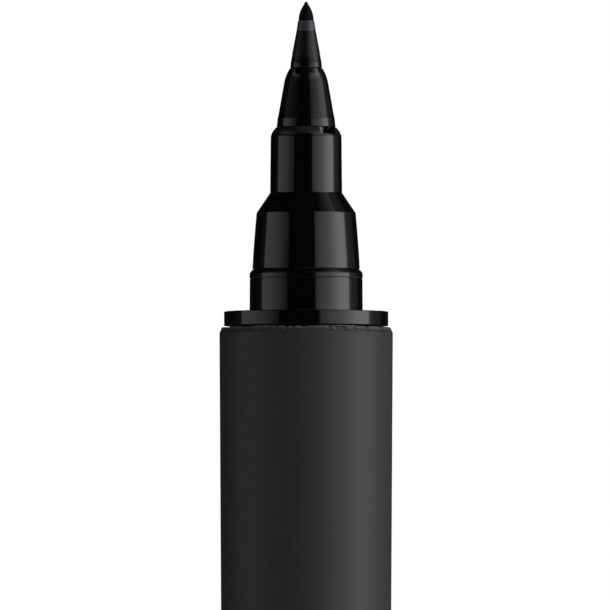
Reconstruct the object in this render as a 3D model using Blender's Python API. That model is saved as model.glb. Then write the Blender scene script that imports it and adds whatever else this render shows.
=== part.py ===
# A brush pen standing on its posted cap, nib up. Metres, +Z along the pen, origin at the centre of
# the cap's flat end. Every piece is turned about the pen's axis; a few have slots cut in them.

import math

import bmesh
import bpy
from mathutils import Matrix

MM = 0.001

# Driving dimensions
CAP_LENGTH = 38.0 * MM
CAP_RADIUS = 5.3 * MM
BARREL_LENGTH = 95.0 * MM
BARREL_TOP_RADIUS = 5.3 * MM
BARREL_TAPER = math.radians(0.33)  # each side, narrowing towards the tail
TAIL_GAP = 0.3 * MM  # between the barrel's tail and the rim of the posted cap
SEAM = 0.05 * MM  # between faces that butt together
EDGE = 0.25 * MM  # rounding on the outer shells

# Heights above the stand, worked up the pen
BARREL_BOTTOM = CAP_LENGTH + TAIL_GAP
BARREL_TOP = BARREL_BOTTOM + BARREL_LENGTH
FLANGE_BOTTOM = BARREL_TOP + SEAM
FLANGE_TOP = FLANGE_BOTTOM + 0.96 * MM
BEAD_BOTTOM = FLANGE_TOP + 1.84 * MM
BEAD_TOP = BEAD_BOTTOM + 0.62 * MM
SHOULDER_BOTTOM = BEAD_TOP + 3.5 * MM
SHOULDER_TOP = SHOULDER_BOTTOM + 1.23 * MM
NECK_TOP = SHOULDER_TOP + 3.54 * MM
MOUTH_TOP = NECK_TOP + 0.45 * MM
NOSE_BOTTOM = MOUTH_TOP + SEAM
NOSE_TOP = NOSE_BOTTOM + 3.57 * MM
SHEATH_BOTTOM = NOSE_TOP + SEAM
SHEATH_TOP = SHEATH_BOTTOM + 2.87 * MM
TIP = SHEATH_TOP + 1.16 * MM

# Radii of the collar and the front section, from the flange up to the mouth
FLANGE_RADIUS = 5.02 * MM
COLLAR_RADIUS = 3.46 * MM
BEAD_RADIUS = 3.46 * MM
TAPER_RADIUS = 3.28 * MM
SHOULDER_RADIUS = 3.03 * MM
NECK_RADIUS = 2.2 * MM
MOUTH_RADIUS = 1.84 * MM
SPIGOT_RADIUS = 3.95 * MM
SPIGOT_LENGTH = 8.0 * MM
COLLAR_BORE = 3.05 * MM
FEED_BORE = 2.6 * MM
NECK_BORE = 1.55 * MM
NOTCH_WIDTH = 1.82 * MM
NOTCH_TURN = math.radians(-41.0)  # from +X, about +Z

# Nose cone and nib
NOSE_RADIUS = 1.8 * MM
NOSE_MOUTH_RADIUS = 0.99 * MM
NOSE_BORE = 0.86 * MM
NOSE_SHANK_BORE = 1.15 * MM
SHEATH_RADIUS = 0.97 * MM
SHEATH_RIM_RADIUS = 0.495 * MM
SHEATH_BORE = 0.46 * MM
NIB_RADIUS = 0.45 * MM
NIB_STEM_RADIUS = 0.4 * MM

# Ink tank and feed
BARREL_BORE = 4.0 * MM
TANK_RADIUS = 3.85 * MM
TANK_BORE = 3.25 * MM
TANK_BOTTOM = 50.0 * MM
TANK_TOP = FLANGE_BOTTOM - SPIGOT_LENGTH - 0.4 * MM
CORE_RADIUS = 0.75 * MM
CORE_BORE = 0.85 * MM
CORE_BOTTOM = 112.0 * MM
FIN_COUNT = 11
FIN_RADIUS = 2.52 * MM
BALL_RADIUS = 2.0 * MM

# Cap, measured up from the stand
CAP_SHELL_BORE = 4.55 * MM
CROWN_THICKNESS = 1.4 * MM
CROWN_TOP = 9.05 * MM
LINER_RADIUS = 4.5 * MM
LINER_BOTTOM = 13.0 * MM
LINER_MOUTH_BORE = 3.55 * MM
LINER_LIP_BORE = 3.3 * MM
LINER_BORE = 3.75 * MM
INNER_CAP_TOP = CAP_LENGTH - 5.2 * MM
INNER_CAP_DEPTH = 13.5 * MM
INNER_CAP_BORE = 2.5 * MM
INNER_CAP_RADIUS = 3.1 * MM
SPRING_RADIUS = 1.9 * MM
SPRING_WIRE = 0.2 * MM
SPRING_TURNS = 7

# Facets round each piece
FINE = 48
MEDIUM = 36
COARSE = 24

BLACK_SOFT_TOUCH = ("black_soft_touch", (0.025, 0.025, 0.026), 0.55, 0.0)
BLACK_GLOSS = ("black_gloss", (0.008, 0.008, 0.009), 0.15, 0.0)
BLACK_FIBRE = ("black_fibre", (0.012, 0.012, 0.010), 0.9, 0.0)
BLACK_ELASTOMER = ("black_elastomer", (0.012, 0.012, 0.013), 0.35, 0.0)
NATURAL_PLASTIC = ("natural_plastic", (0.75, 0.76, 0.74), 0.4, 0.0)
WHITE_PLASTIC = ("white_plastic", (0.85, 0.85, 0.83), 0.35, 0.0)
WHITE_FIBRE = ("white_fibre", (0.82, 0.80, 0.76), 0.9, 0.0)
GREY_RUBBER = ("grey_rubber", (0.10, 0.10, 0.11), 0.6, 0.0)
STEEL = ("steel", (0.62, 0.62, 0.62), 0.2, 1.0)


def clear_scene():
    for obj in list(bpy.data.objects):
        bpy.data.objects.remove(obj, do_unlink=True)


def finish_of(obj, finish):
    """Gives the object a material of its own with this finish's colour, roughness and metallic value."""
    name, colour, roughness, metallic = finish
    material = bpy.data.materials.new(f"{obj.name}_{name}")
    material.use_nodes = True
    shader = material.node_tree.nodes["Principled BSDF"]
    shader.inputs["Base Color"].default_value = (*colour, 1.0)
    shader.inputs["Roughness"].default_value = roughness
    shader.inputs["Metallic"].default_value = metallic
    obj.data.materials.append(material)


def body_empty(name, height, parent=None):
    """An empty on the pen's axis that carries one rigid body."""
    empty = bpy.data.objects.new(name, None)
    bpy.context.scene.collection.objects.link(empty)
    place(empty, parent, height)
    return empty


def place(obj, parent, height):
    """Parents obj and sets its origin on the pen's axis at this height above the stand."""
    obj.parent = parent
    below = 0.0
    while parent is not None:
        below += parent.location.z
        parent = parent.parent
    obj.location = (0.0, 0.0, height - below)


def arc(radius, height, size, start, end, steps=3):
    """Points of a round edge about (radius, height), from the start angle to the end angle in degrees."""
    points = []
    for step in range(steps + 1):
        angle = math.radians(start + (end - start) * step / steps)
        points.append((radius + size * math.cos(angle), height + size * math.sin(angle)))
    return points


def turned(name, outline, facets, finish, parent, base):
    """Spins an outline of (radius, height above the stand) about the pen's axis, with its origin at base.
    An outline that starts and ends on the axis is left open there; any other is closed into a ring."""
    shape = bmesh.new()
    corners = [shape.verts.new((radius, 0.0, height - base)) for radius, height in outline]
    edges = [shape.edges.new(pair) for pair in zip(corners, corners[1:])]
    if outline[0][0] > 0.0 or outline[-1][0] > 0.0:
        edges.append(shape.edges.new((corners[-1], corners[0])))
    bmesh.ops.spin(
        shape,
        geom=corners + edges,
        cent=(0.0, 0.0, 0.0),
        axis=(0.0, 0.0, 1.0),
        angle=math.tau,
        steps=facets,
        use_merge=True,
    )
    bmesh.ops.remove_doubles(shape, verts=shape.verts, dist=1e-7)
    bmesh.ops.recalc_face_normals(shape, faces=shape.faces)
    return solid_object(name, shape, finish, parent, base)


def solid_object(name, shape, finish, parent, base):
    mesh = bpy.data.meshes.new(name)
    shape.to_mesh(mesh)
    shape.free()
    mesh.shade_smooth()
    mesh.set_sharp_from_angle(angle=math.radians(30.0))
    obj = bpy.data.objects.new(name, mesh)
    bpy.context.scene.collection.objects.link(obj)
    place(obj, parent, base)
    finish_of(obj, finish)
    return obj


def cut_box(target, name, size, centre, turn=0.0):
    """Cuts a box of this size out of target. centre is (distance from the axis, height); turn is about Z."""
    shape = bmesh.new()
    bmesh.ops.create_cube(shape, size=1.0)
    bmesh.ops.scale(shape, vec=size, verts=shape.verts)
    bmesh.ops.translate(shape, vec=(centre[0], 0.0, 0.0), verts=shape.verts)
    bmesh.ops.rotate(shape, matrix=Matrix.Rotation(turn, 3, "Z"), verts=shape.verts)
    mesh = bpy.data.meshes.new(name)
    shape.to_mesh(mesh)
    shape.free()
    cutter = bpy.data.objects.new(name, mesh)
    bpy.context.scene.collection.objects.link(cutter)
    place(cutter, target.parent, centre[1])
    cutter.hide_render = True
    cutter.display_type = "WIRE"
    cut = target.modifiers.new(name, "BOOLEAN")
    cut.operation = "DIFFERENCE"
    cut.solver = "EXACT"
    cut.object = cutter


def barrel_radius(height):
    return BARREL_TOP_RADIUS - (BARREL_TOP - height) * math.tan(BARREL_TAPER)


def make_barrel(pen):
    """Tapered outer tube with rounded ends."""
    outline = [(BARREL_BORE, BARREL_TOP)]
    outline += arc(barrel_radius(BARREL_TOP) - EDGE, BARREL_TOP - EDGE, EDGE, 90.0, 0.0)
    outline += arc(barrel_radius(BARREL_BOTTOM) - EDGE, BARREL_BOTTOM + EDGE, EDGE, 0.0, -90.0)
    outline += [(BARREL_BORE, BARREL_BOTTOM)]
    turned("barrel", outline, FINE, BLACK_SOFT_TOUCH, pen, BARREL_BOTTOM)


def make_section_collar(pen):
    """Flanged ring pressed into the barrel: a spigot, the flange that the cap's rim meets, a straight
    collar, and the snap bead at its top edge."""
    spigot_bottom = FLANGE_BOTTOM - SPIGOT_LENGTH
    flange_edge = 0.06 * MM
    bead_round = 0.3 * MM
    bead_height = BEAD_TOP - bead_round
    outline = [
        (COLLAR_BORE, spigot_bottom),
        (SPIGOT_RADIUS - 0.2 * MM, spigot_bottom),
        (SPIGOT_RADIUS, spigot_bottom + 0.4 * MM),
        (SPIGOT_RADIUS, FLANGE_BOTTOM),
        (FLANGE_RADIUS, FLANGE_BOTTOM),
        (FLANGE_RADIUS - flange_edge / 2, FLANGE_TOP - flange_edge),
        (FLANGE_RADIUS - 1.5 * flange_edge, FLANGE_TOP),
        (COLLAR_RADIUS, FLANGE_TOP),
        (COLLAR_RADIUS - 0.04 * MM, BEAD_BOTTOM),
    ]
    outline += arc(BEAD_RADIUS - bead_round, bead_height, bead_round, -35.0, 60.0, 4)
    outline += [(BEAD_RADIUS - 0.2 * MM, BEAD_TOP), (COLLAR_BORE, BEAD_TOP)]
    turned("section_collar", outline, FINE, BLACK_GLOSS, pen, FLANGE_BOTTOM)


def make_front_section(pen):
    """Stepped front that holds the feed: a shank in the collar, then taper, shoulder, neck and mouth.
    A notch through one side of the mouth lets air in."""
    shank_radius = COLLAR_BORE - SEAM
    shank_bottom = FLANGE_BOTTOM - 5.0 * MM
    taper_bottom = BEAD_TOP + SEAM
    outline = [
        (FEED_BORE, shank_bottom),
        (shank_radius - 0.15 * MM, shank_bottom),
        (shank_radius, shank_bottom + 0.3 * MM),
        (shank_radius, taper_bottom),
    ]
    taper_steps = 4
    for step in range(taper_steps + 1):
        along = step / taper_steps
        radius = TAPER_RADIUS + (SHOULDER_RADIUS - TAPER_RADIUS) * along**1.25
        outline.append((radius, taper_bottom + (SHOULDER_BOTTOM - taper_bottom) * along))
    outline += [
        (NECK_RADIUS, SHOULDER_TOP),
        (NECK_RADIUS - 0.04 * MM, NECK_TOP),
        (MOUTH_RADIUS, MOUTH_TOP),
        (NECK_BORE, MOUTH_TOP),
        (NECK_BORE, SHOULDER_BOTTOM + 0.6 * MM),
        (FEED_BORE, SHOULDER_BOTTOM - 0.7 * MM),
    ]
    section = turned("front_section", outline, FINE, BLACK_GLOSS, pen, BEAD_TOP)
    depth = MOUTH_TOP - NECK_TOP - 0.03 * MM
    notch_height = 2.0 * depth
    notch_centre = ((NECK_BORE + NECK_RADIUS) / 2 + 0.15 * MM, MOUTH_TOP)
    notch_size = (1.1 * MM, NOTCH_WIDTH, notch_height)
    cut_box(section, "vent_notch_cutter", notch_size, notch_centre, NOTCH_TURN)


def make_nose_cone(pen):
    """Cone that carries the nib: a land at its foot, a chamfered mouth, and a shank down into the neck.
    Below the land the shank is undercut, so that air from the vent notch runs all round it."""
    land_top = NOSE_BOTTOM + 0.62 * MM
    land_radius = NOSE_RADIUS - 0.06 * MM
    shank_radius = NECK_BORE - SEAM
    undercut_radius = shank_radius - 0.18 * MM
    undercut_bottom = NOSE_BOTTOM - 0.6 * MM
    shank_bottom = SHOULDER_TOP + 0.4 * MM
    bore_step = NOSE_TOP - 2.15 * MM
    outline = [
        (NOSE_BORE, NOSE_TOP),
        (NOSE_MOUTH_RADIUS, NOSE_TOP),
        (NOSE_MOUTH_RADIUS + 0.24 * MM, NOSE_TOP - 0.42 * MM),
        (NOSE_MOUTH_RADIUS + 0.32 * MM, NOSE_TOP - 0.77 * MM),
        (land_radius - 0.03 * MM, land_top + 0.02 * MM),
        (land_radius, land_top),
        (NOSE_RADIUS, NOSE_BOTTOM),
        (undercut_radius, NOSE_BOTTOM),
        (undercut_radius, undercut_bottom + 0.1 * MM),
        (shank_radius, undercut_bottom),
        (shank_radius, shank_bottom),
        (NOSE_SHANK_BORE, shank_bottom),
        (NOSE_SHANK_BORE, bore_step),
        (NOSE_BORE, bore_step),
    ]
    turned("nose_cone", outline, MEDIUM, BLACK_GLOSS, pen, NOSE_BOTTOM)


def make_nib_holder(pen):
    """Flanged bush that grips the nib's stem inside the nose cone."""
    top = NOSE_TOP - 2.4 * MM
    flange_top = SHOULDER_TOP + 0.35 * MM
    flange_bottom = flange_top - 0.45 * MM
    bush_radius = NOSE_SHANK_BORE - SEAM
    flange_radius = NECK_BORE - 0.1 * MM
    bore = NIB_STEM_RADIUS + SEAM
    outline = [
        (bore, top),
        (bush_radius - 0.1 * MM, top),
        (bush_radius, top - 0.2 * MM),
        (bush_radius, flange_top),
        (flange_radius, flange_top),
        (flange_radius, flange_bottom),
        (bore, flange_bottom),
    ]
    turned("nib_holder", outline, COARSE, WHITE_PLASTIC, pen, flange_bottom)


def make_nib(nib, pivot):
    """Pointed fibre nib with its stem, and the flexible sheath round it that flares at its foot."""
    stem_bottom = SHOULDER_TOP - 0.35 * MM
    point_steps = 6
    outline = []
    for step in range(point_steps + 1):
        along = 1.0 - step / point_steps
        outline.append((NIB_RADIUS * (1.0 - along**2.1), SHEATH_TOP + (TIP - SHEATH_TOP) * along))
    outline += [
        (NIB_STEM_RADIUS, SHEATH_TOP - 0.15 * MM),
        (NIB_STEM_RADIUS, stem_bottom),
        (0.0, stem_bottom),
    ]
    turned("nib_point", outline, COARSE, BLACK_FIBRE, nib, pivot)

    stem_radius = NOSE_BORE - SEAM
    sheath_bottom = NOSE_TOP - 2.0 * MM
    outline = [
        (SHEATH_BORE, SHEATH_TOP),
        (SHEATH_RIM_RADIUS - 0.02 * MM, SHEATH_TOP),
        (SHEATH_RIM_RADIUS, SHEATH_TOP - 0.05 * MM),
        (SHEATH_RIM_RADIUS + 0.09 * MM, SHEATH_TOP - 0.61 * MM),
        (SHEATH_RADIUS - 0.13 * MM, SHEATH_BOTTOM + 0.78 * MM),
        (SHEATH_RADIUS - 0.09 * MM, SHEATH_BOTTOM + 0.57 * MM),
        (SHEATH_RADIUS - 0.02 * MM, SHEATH_BOTTOM + 0.3 * MM),
        (SHEATH_RADIUS, SHEATH_BOTTOM),
        (stem_radius, SHEATH_BOTTOM),
        (stem_radius, sheath_bottom),
        (SHEATH_BORE, sheath_bottom),
    ]
    turned("nib_sheath", outline, COARSE, BLACK_ELASTOMER, nib, pivot)


def make_feed(pen):
    """Fibre core from the tank to the nib's stem, the finned collector round it, and its sealing ring."""
    core_top = SHOULDER_TOP - 0.45 * MM
    outline = [
        (0.0, core_top),
        (CORE_RADIUS, core_top),
        (CORE_RADIUS, CORE_BOTTOM + 0.3 * MM),
        (CORE_RADIUS - 0.3 * MM, CORE_BOTTOM),
        (0.0, CORE_BOTTOM),
    ]
    turned("relay_core", outline, COARSE, WHITE_FIBRE, pen, CORE_BOTTOM)

    fins_top = SHOULDER_BOTTOM - 1.2 * MM
    disc_top = FLANGE_BOTTOM - SPIGOT_LENGTH - SEAM
    disc_bottom = TANK_TOP + SEAM
    fins_bottom = disc_top + 0.7 * MM
    pitch = (fins_top - fins_bottom) / FIN_COUNT
    stem_radius = 1.45 * MM
    collector_bottom = TANK_TOP - 5.4 * MM
    outline = [
        (CORE_BORE, SHOULDER_BOTTOM + 0.4 * MM),
        (1.25 * MM, SHOULDER_BOTTOM + 0.4 * MM),
        (1.25 * MM, fins_top),
    ]
    for fin in range(FIN_COUNT):
        top = fins_top - fin * pitch
        outline += [
            (FIN_RADIUS, top),
            (FIN_RADIUS, top - pitch / 2),
            (stem_radius, top - pitch / 2),
            (stem_radius, top - pitch),
        ]
    plug_radius = TANK_BORE - SEAM
    groove_radius = 2.5 * MM
    groove_middle = TANK_TOP - 1.7 * MM
    groove_half = 0.45 * MM
    outline += [
        (stem_radius, disc_top),
        (TANK_RADIUS, disc_top),
        (TANK_RADIUS, disc_bottom),
        (plug_radius, disc_bottom),
        (plug_radius, groove_middle + groove_half),
        (groove_radius, groove_middle + groove_half),
        (groove_radius, groove_middle - groove_half),
        (plug_radius, groove_middle - groove_half),
        (plug_radius - 0.2 * MM, groove_middle - 1.4 * MM),
        (1.3 * MM, groove_middle - 1.4 * MM),
        (1.3 * MM, collector_bottom),
        (CORE_BORE, collector_bottom),
    ]
    collector = turned("collector", outline, COARSE, BLACK_GLOSS, pen, disc_bottom)
    slot_height = fins_top - fins_bottom + 0.4 * MM
    slot_centre = (2.6 * MM, (fins_top + fins_bottom) / 2 + 0.1 * MM)
    cut_box(collector, "ink_slot_cutter", (2.0 * MM, 0.5 * MM, slot_height), slot_centre)

    ring_size = 0.31 * MM
    ring_radius = TANK_BORE - SEAM - ring_size
    outline = arc(ring_radius, groove_middle, ring_size, 0.0, 324.0, 9)
    turned("collector_seal", outline, COARSE, GREY_RUBBER, pen, groove_middle)


def make_tank(pen):
    """Ink tank inside the barrel, with the stopper in its tail."""
    outline = [
        (TANK_BORE, TANK_TOP),
        (TANK_RADIUS, TANK_TOP),
        (TANK_RADIUS, TANK_BOTTOM),
        (TANK_BORE, TANK_BOTTOM),
    ]
    turned("ink_tank", outline, MEDIUM, NATURAL_PLASTIC, pen, TANK_BOTTOM)

    plug_radius = TANK_BORE - SEAM
    plug_top = TANK_BOTTOM + 5.0 * MM
    flange_bottom = TANK_BOTTOM - 1.0 * MM
    outline = [
        (0.0, plug_top - 0.5 * MM),
        (2.6 * MM, plug_top),
        (plug_radius - 0.15 * MM, plug_top),
        (plug_radius, plug_top - 0.3 * MM),
        (plug_radius, TANK_BOTTOM - SEAM),
        (TANK_RADIUS, TANK_BOTTOM - SEAM),
        (TANK_RADIUS, flange_bottom),
        (2.3 * MM, flange_bottom),
        (2.1 * MM, plug_top - 2.0 * MM),
        (0.0, plug_top - 2.0 * MM),
    ]
    turned("tank_stopper", outline, COARSE, NATURAL_PLASTIC, pen, flange_bottom)


def make_ball(ball):
    """Loose steel ball that stirs the ink; it rests in the stopper's dish."""
    shape = bmesh.new()
    bmesh.ops.create_uvsphere(shape, u_segments=20, v_segments=12, radius=BALL_RADIUS)
    solid_object("agitator_ball", shape, STEEL, ball, ball_height())


def ball_height():
    dish = TANK_BOTTOM + 4.5 * MM
    return dish + BALL_RADIUS + 0.1 * MM


def make_tail_plug(pen):
    """Cup that closes the barrel's tail; its spigot carries a bead that the posted cap snaps over."""
    spigot_radius = 3.42 * MM
    spigot_bottom = CAP_LENGTH - 5.0 * MM
    bead_height = CAP_LENGTH - 2.1 * MM
    bead_half = 0.3 * MM
    insert_radius = BARREL_BORE - SEAM
    insert_top = TANK_BOTTOM - 1.0 * MM - SEAM
    outline = [
        (3.2 * MM, insert_top),
        (insert_radius - 0.15 * MM, insert_top),
        (insert_radius, insert_top - 0.4 * MM),
        (insert_radius, BARREL_BOTTOM + SEAM),
        (spigot_radius, BARREL_BOTTOM + SEAM),
        (spigot_radius, bead_height + bead_half),
        (BEAD_RADIUS, bead_height),
        (spigot_radius, bead_height - bead_half),
        (spigot_radius, spigot_bottom + 0.3 * MM),
        (spigot_radius - 0.3 * MM, spigot_bottom),
        (0.0, spigot_bottom),
    ]
    hollow = [
        (0.0, spigot_bottom + 1.2 * MM),
        (2.6 * MM, spigot_bottom + 1.2 * MM),
        (2.6 * MM, BARREL_BOTTOM + 0.8 * MM),
        (3.2 * MM, BARREL_BOTTOM + 1.6 * MM),
    ]
    turned("tail_plug", (hollow + outline), FINE, BLACK_GLOSS, pen, BARREL_BOTTOM)


def make_cap(cap):
    """Outer shell with a rounded rim, the sleeve that snaps onto the pen, and the flat-ended crown."""
    shell_bottom = CROWN_THICKNESS + SEAM
    outline = [(CAP_SHELL_BORE, CAP_LENGTH)]
    outline += arc(CAP_RADIUS - EDGE, CAP_LENGTH - EDGE, EDGE, 90.0, 0.0)
    outline += [
        (CAP_RADIUS, shell_bottom + 0.08 * MM),
        (CAP_RADIUS - 0.08 * MM, shell_bottom),
        (CAP_SHELL_BORE, shell_bottom),
    ]
    turned("cap_shell", outline, FINE, BLACK_SOFT_TOUCH, cap, shell_bottom)

    liner_top = CAP_LENGTH - SEAM
    rib_height = CAP_LENGTH - 2.9 * MM
    rib_half = 0.2 * MM
    lip_top = INNER_CAP_TOP + 0.1 * MM
    lip_bottom = INNER_CAP_TOP - 0.5 * MM
    outline = [
        (LINER_MOUTH_BORE + 0.2 * MM, liner_top),
        (LINER_RADIUS, liner_top),
        (LINER_RADIUS, LINER_BOTTOM),
        (LINER_BORE, LINER_BOTTOM),
        (LINER_BORE, lip_bottom),
        (LINER_LIP_BORE, lip_bottom),
        (LINER_LIP_BORE, lip_top),
        (LINER_MOUTH_BORE, lip_top + 0.2 * MM),
        (LINER_MOUTH_BORE, rib_height - rib_half),
        (LINER_MOUTH_BORE - 0.05 * MM, rib_height),
        (LINER_MOUTH_BORE, rib_height + rib_half),
        (LINER_MOUTH_BORE, liner_top - 0.3 * MM),
    ]
    turned("cap_liner", outline, MEDIUM, BLACK_GLOSS, cap, LINER_BOTTOM)

    foot = 0.7 * MM
    socket_radius = 1.45 * MM
    outline = [(0.0, 0.0)]
    outline += arc(CAP_RADIUS - foot, foot, foot, -90.0, 0.0, 4)
    outline += [
        (CAP_RADIUS, CROWN_THICKNESS - 0.08 * MM),
        (CAP_RADIUS - 0.08 * MM, CROWN_THICKNESS),
        (LINER_RADIUS, CROWN_THICKNESS),
        (LINER_RADIUS, CROWN_TOP - 0.3 * MM),
        (LINER_RADIUS - 0.3 * MM, CROWN_TOP),
        (socket_radius, CROWN_TOP),
        (socket_radius, CROWN_TOP - 4.0 * MM),
        (0.0, CROWN_TOP - 4.0 * MM),
    ]
    turned("cap_crown", outline, FINE, BLACK_SOFT_TOUCH, cap, 0.0)


def inner_cap_back():
    end_wall = 1.0 * MM
    return INNER_CAP_TOP - INNER_CAP_DEPTH - end_wall


def make_inner_cap(body):
    """Sliding cup that closes over the nib, with a soft ring in its mouth and a stem behind for the spring."""
    seat_depth = 0.85 * MM
    seat_radius = 2.95 * MM
    mouth_radius = LINER_LIP_BORE - 0.1 * MM
    flange_radius = LINER_BORE - 0.1 * MM
    flange_top = INNER_CAP_TOP - 0.6 * MM
    flange_bottom = flange_top - 1.0 * MM
    stem_radius = 1.2 * MM
    stem_bottom = 10.0 * MM
    back = inner_cap_back()
    outline = [
        (0.0, INNER_CAP_TOP - INNER_CAP_DEPTH),
        (INNER_CAP_BORE, INNER_CAP_TOP - INNER_CAP_DEPTH),
        (INNER_CAP_BORE, INNER_CAP_TOP - seat_depth),
        (seat_radius, INNER_CAP_TOP - seat_depth),
        (seat_radius, INNER_CAP_TOP),
        (mouth_radius, INNER_CAP_TOP),
        (mouth_radius, flange_top),
        (flange_radius, flange_top),
        (flange_radius, flange_bottom),
        (INNER_CAP_RADIUS, flange_bottom),
        (INNER_CAP_RADIUS, back),
        (stem_radius, back),
        (stem_radius, stem_bottom + 0.3 * MM),
        (stem_radius - 0.3 * MM, stem_bottom),
        (0.0, stem_bottom),
    ]
    turned("inner_cap", outline, MEDIUM, WHITE_PLASTIC, body, INNER_CAP_TOP)

    seal_bottom = INNER_CAP_TOP - seat_depth + SEAM
    outline = [
        (seat_radius - SEAM, seal_bottom),
        (seat_radius - SEAM, INNER_CAP_TOP - 0.1 * MM),
        (seat_radius - 0.2 * MM, INNER_CAP_TOP - SEAM),
        (INNER_CAP_BORE + 0.12 * MM, INNER_CAP_TOP - 0.25 * MM),
        (INNER_CAP_BORE + SEAM, seal_bottom),
    ]
    turned("inner_cap_seal", outline, COARSE, GREY_RUBBER, body, INNER_CAP_TOP)


def make_spring(cap):
    """Compression spring behind the inner cap. The coil closes up at both ends so that it seats flat."""
    bottom = CROWN_TOP + SEAM + SPRING_WIRE
    top = inner_cap_back() - SEAM - SPRING_WIRE
    points_per_turn = 12
    count = SPRING_TURNS * points_per_turn
    closed_rise = 2.2 * SPRING_WIRE
    open_rise = (top - bottom - 2.0 * closed_rise) / (SPRING_TURNS - 2)
    curve = bpy.data.curves.new("cap_spring", "CURVE")
    curve.dimensions = "3D"
    curve.bevel_depth = SPRING_WIRE
    curve.bevel_resolution = 1
    curve.use_fill_caps = True
    line = curve.splines.new("POLY")
    line.points.add(count)
    for number in range(count + 1):
        turn = number / points_per_turn
        opened = min(max(turn - 1.0, 0.0), SPRING_TURNS - 2.0)
        height = open_rise * opened + closed_rise * (turn - opened)
        angle = math.tau * turn
        x = SPRING_RADIUS * math.cos(angle)
        y = SPRING_RADIUS * math.sin(angle)
        line.points[number].co = (x, y, height, 1.0)
    spring = bpy.data.objects.new("cap_spring", curve)
    bpy.context.scene.collection.objects.link(spring)
    place(spring, cap, bottom)
    finish_of(spring, STEEL)


def make_pen():
    clear_scene()
    nib_pivot = NOSE_TOP
    cap = body_empty("cap_body", 0.0)
    inner_cap = body_empty("inner_cap_body", INNER_CAP_TOP, cap)
    pen = body_empty("pen_body", BARREL_BOTTOM, cap)
    nib = body_empty("nib_body", nib_pivot, pen)
    ball = body_empty("ball_body", ball_height(), pen)
    make_cap(cap)
    make_spring(cap)
    make_inner_cap(inner_cap)
    make_tail_plug(pen)
    make_barrel(pen)
    make_tank(pen)
    make_feed(pen)
    make_section_collar(pen)
    make_front_section(pen)
    make_nose_cone(pen)
    make_nib_holder(pen)
    make_nib(nib, nib_pivot)
    make_ball(ball)


make_pen()
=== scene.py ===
# Looks for a brush pen that stands nib up on its posted cap. The pen's sizes are in mm, the studio's
# in metres.
import math

import bpy
import numpy as np
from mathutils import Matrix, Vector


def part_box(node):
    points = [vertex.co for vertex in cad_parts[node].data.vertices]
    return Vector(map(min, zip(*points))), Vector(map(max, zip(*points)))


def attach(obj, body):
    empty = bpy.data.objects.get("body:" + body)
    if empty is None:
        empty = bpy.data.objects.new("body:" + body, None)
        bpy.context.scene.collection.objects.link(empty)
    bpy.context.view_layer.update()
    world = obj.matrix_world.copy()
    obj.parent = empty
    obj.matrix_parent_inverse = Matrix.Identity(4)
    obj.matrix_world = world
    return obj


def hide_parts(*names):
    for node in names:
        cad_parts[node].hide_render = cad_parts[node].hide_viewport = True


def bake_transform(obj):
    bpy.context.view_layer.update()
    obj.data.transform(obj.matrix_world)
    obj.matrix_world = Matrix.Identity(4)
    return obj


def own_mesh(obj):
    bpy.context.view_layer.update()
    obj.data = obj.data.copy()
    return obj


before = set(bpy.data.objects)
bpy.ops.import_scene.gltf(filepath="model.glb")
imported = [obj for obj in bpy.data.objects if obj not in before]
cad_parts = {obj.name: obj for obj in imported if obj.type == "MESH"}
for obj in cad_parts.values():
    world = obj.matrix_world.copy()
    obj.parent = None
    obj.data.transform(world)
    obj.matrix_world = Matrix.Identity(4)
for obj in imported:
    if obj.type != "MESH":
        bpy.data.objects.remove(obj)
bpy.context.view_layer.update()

mm = 0.001


def spanOf(node):
    # bottom height, top height and largest radius of a node, in mm
    low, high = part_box(node)
    return low.z / mm, high.z / mm, max(high.x, high.y) / mm


sharpTurn = math.radians(25.0)    # a corner that turns less than this isn't an edge that gets rubbed
guardShare = 0.2                  # a guard point's distance from its arc, as a share of the rounding
guardReach = 0.03                 # and at most


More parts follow.
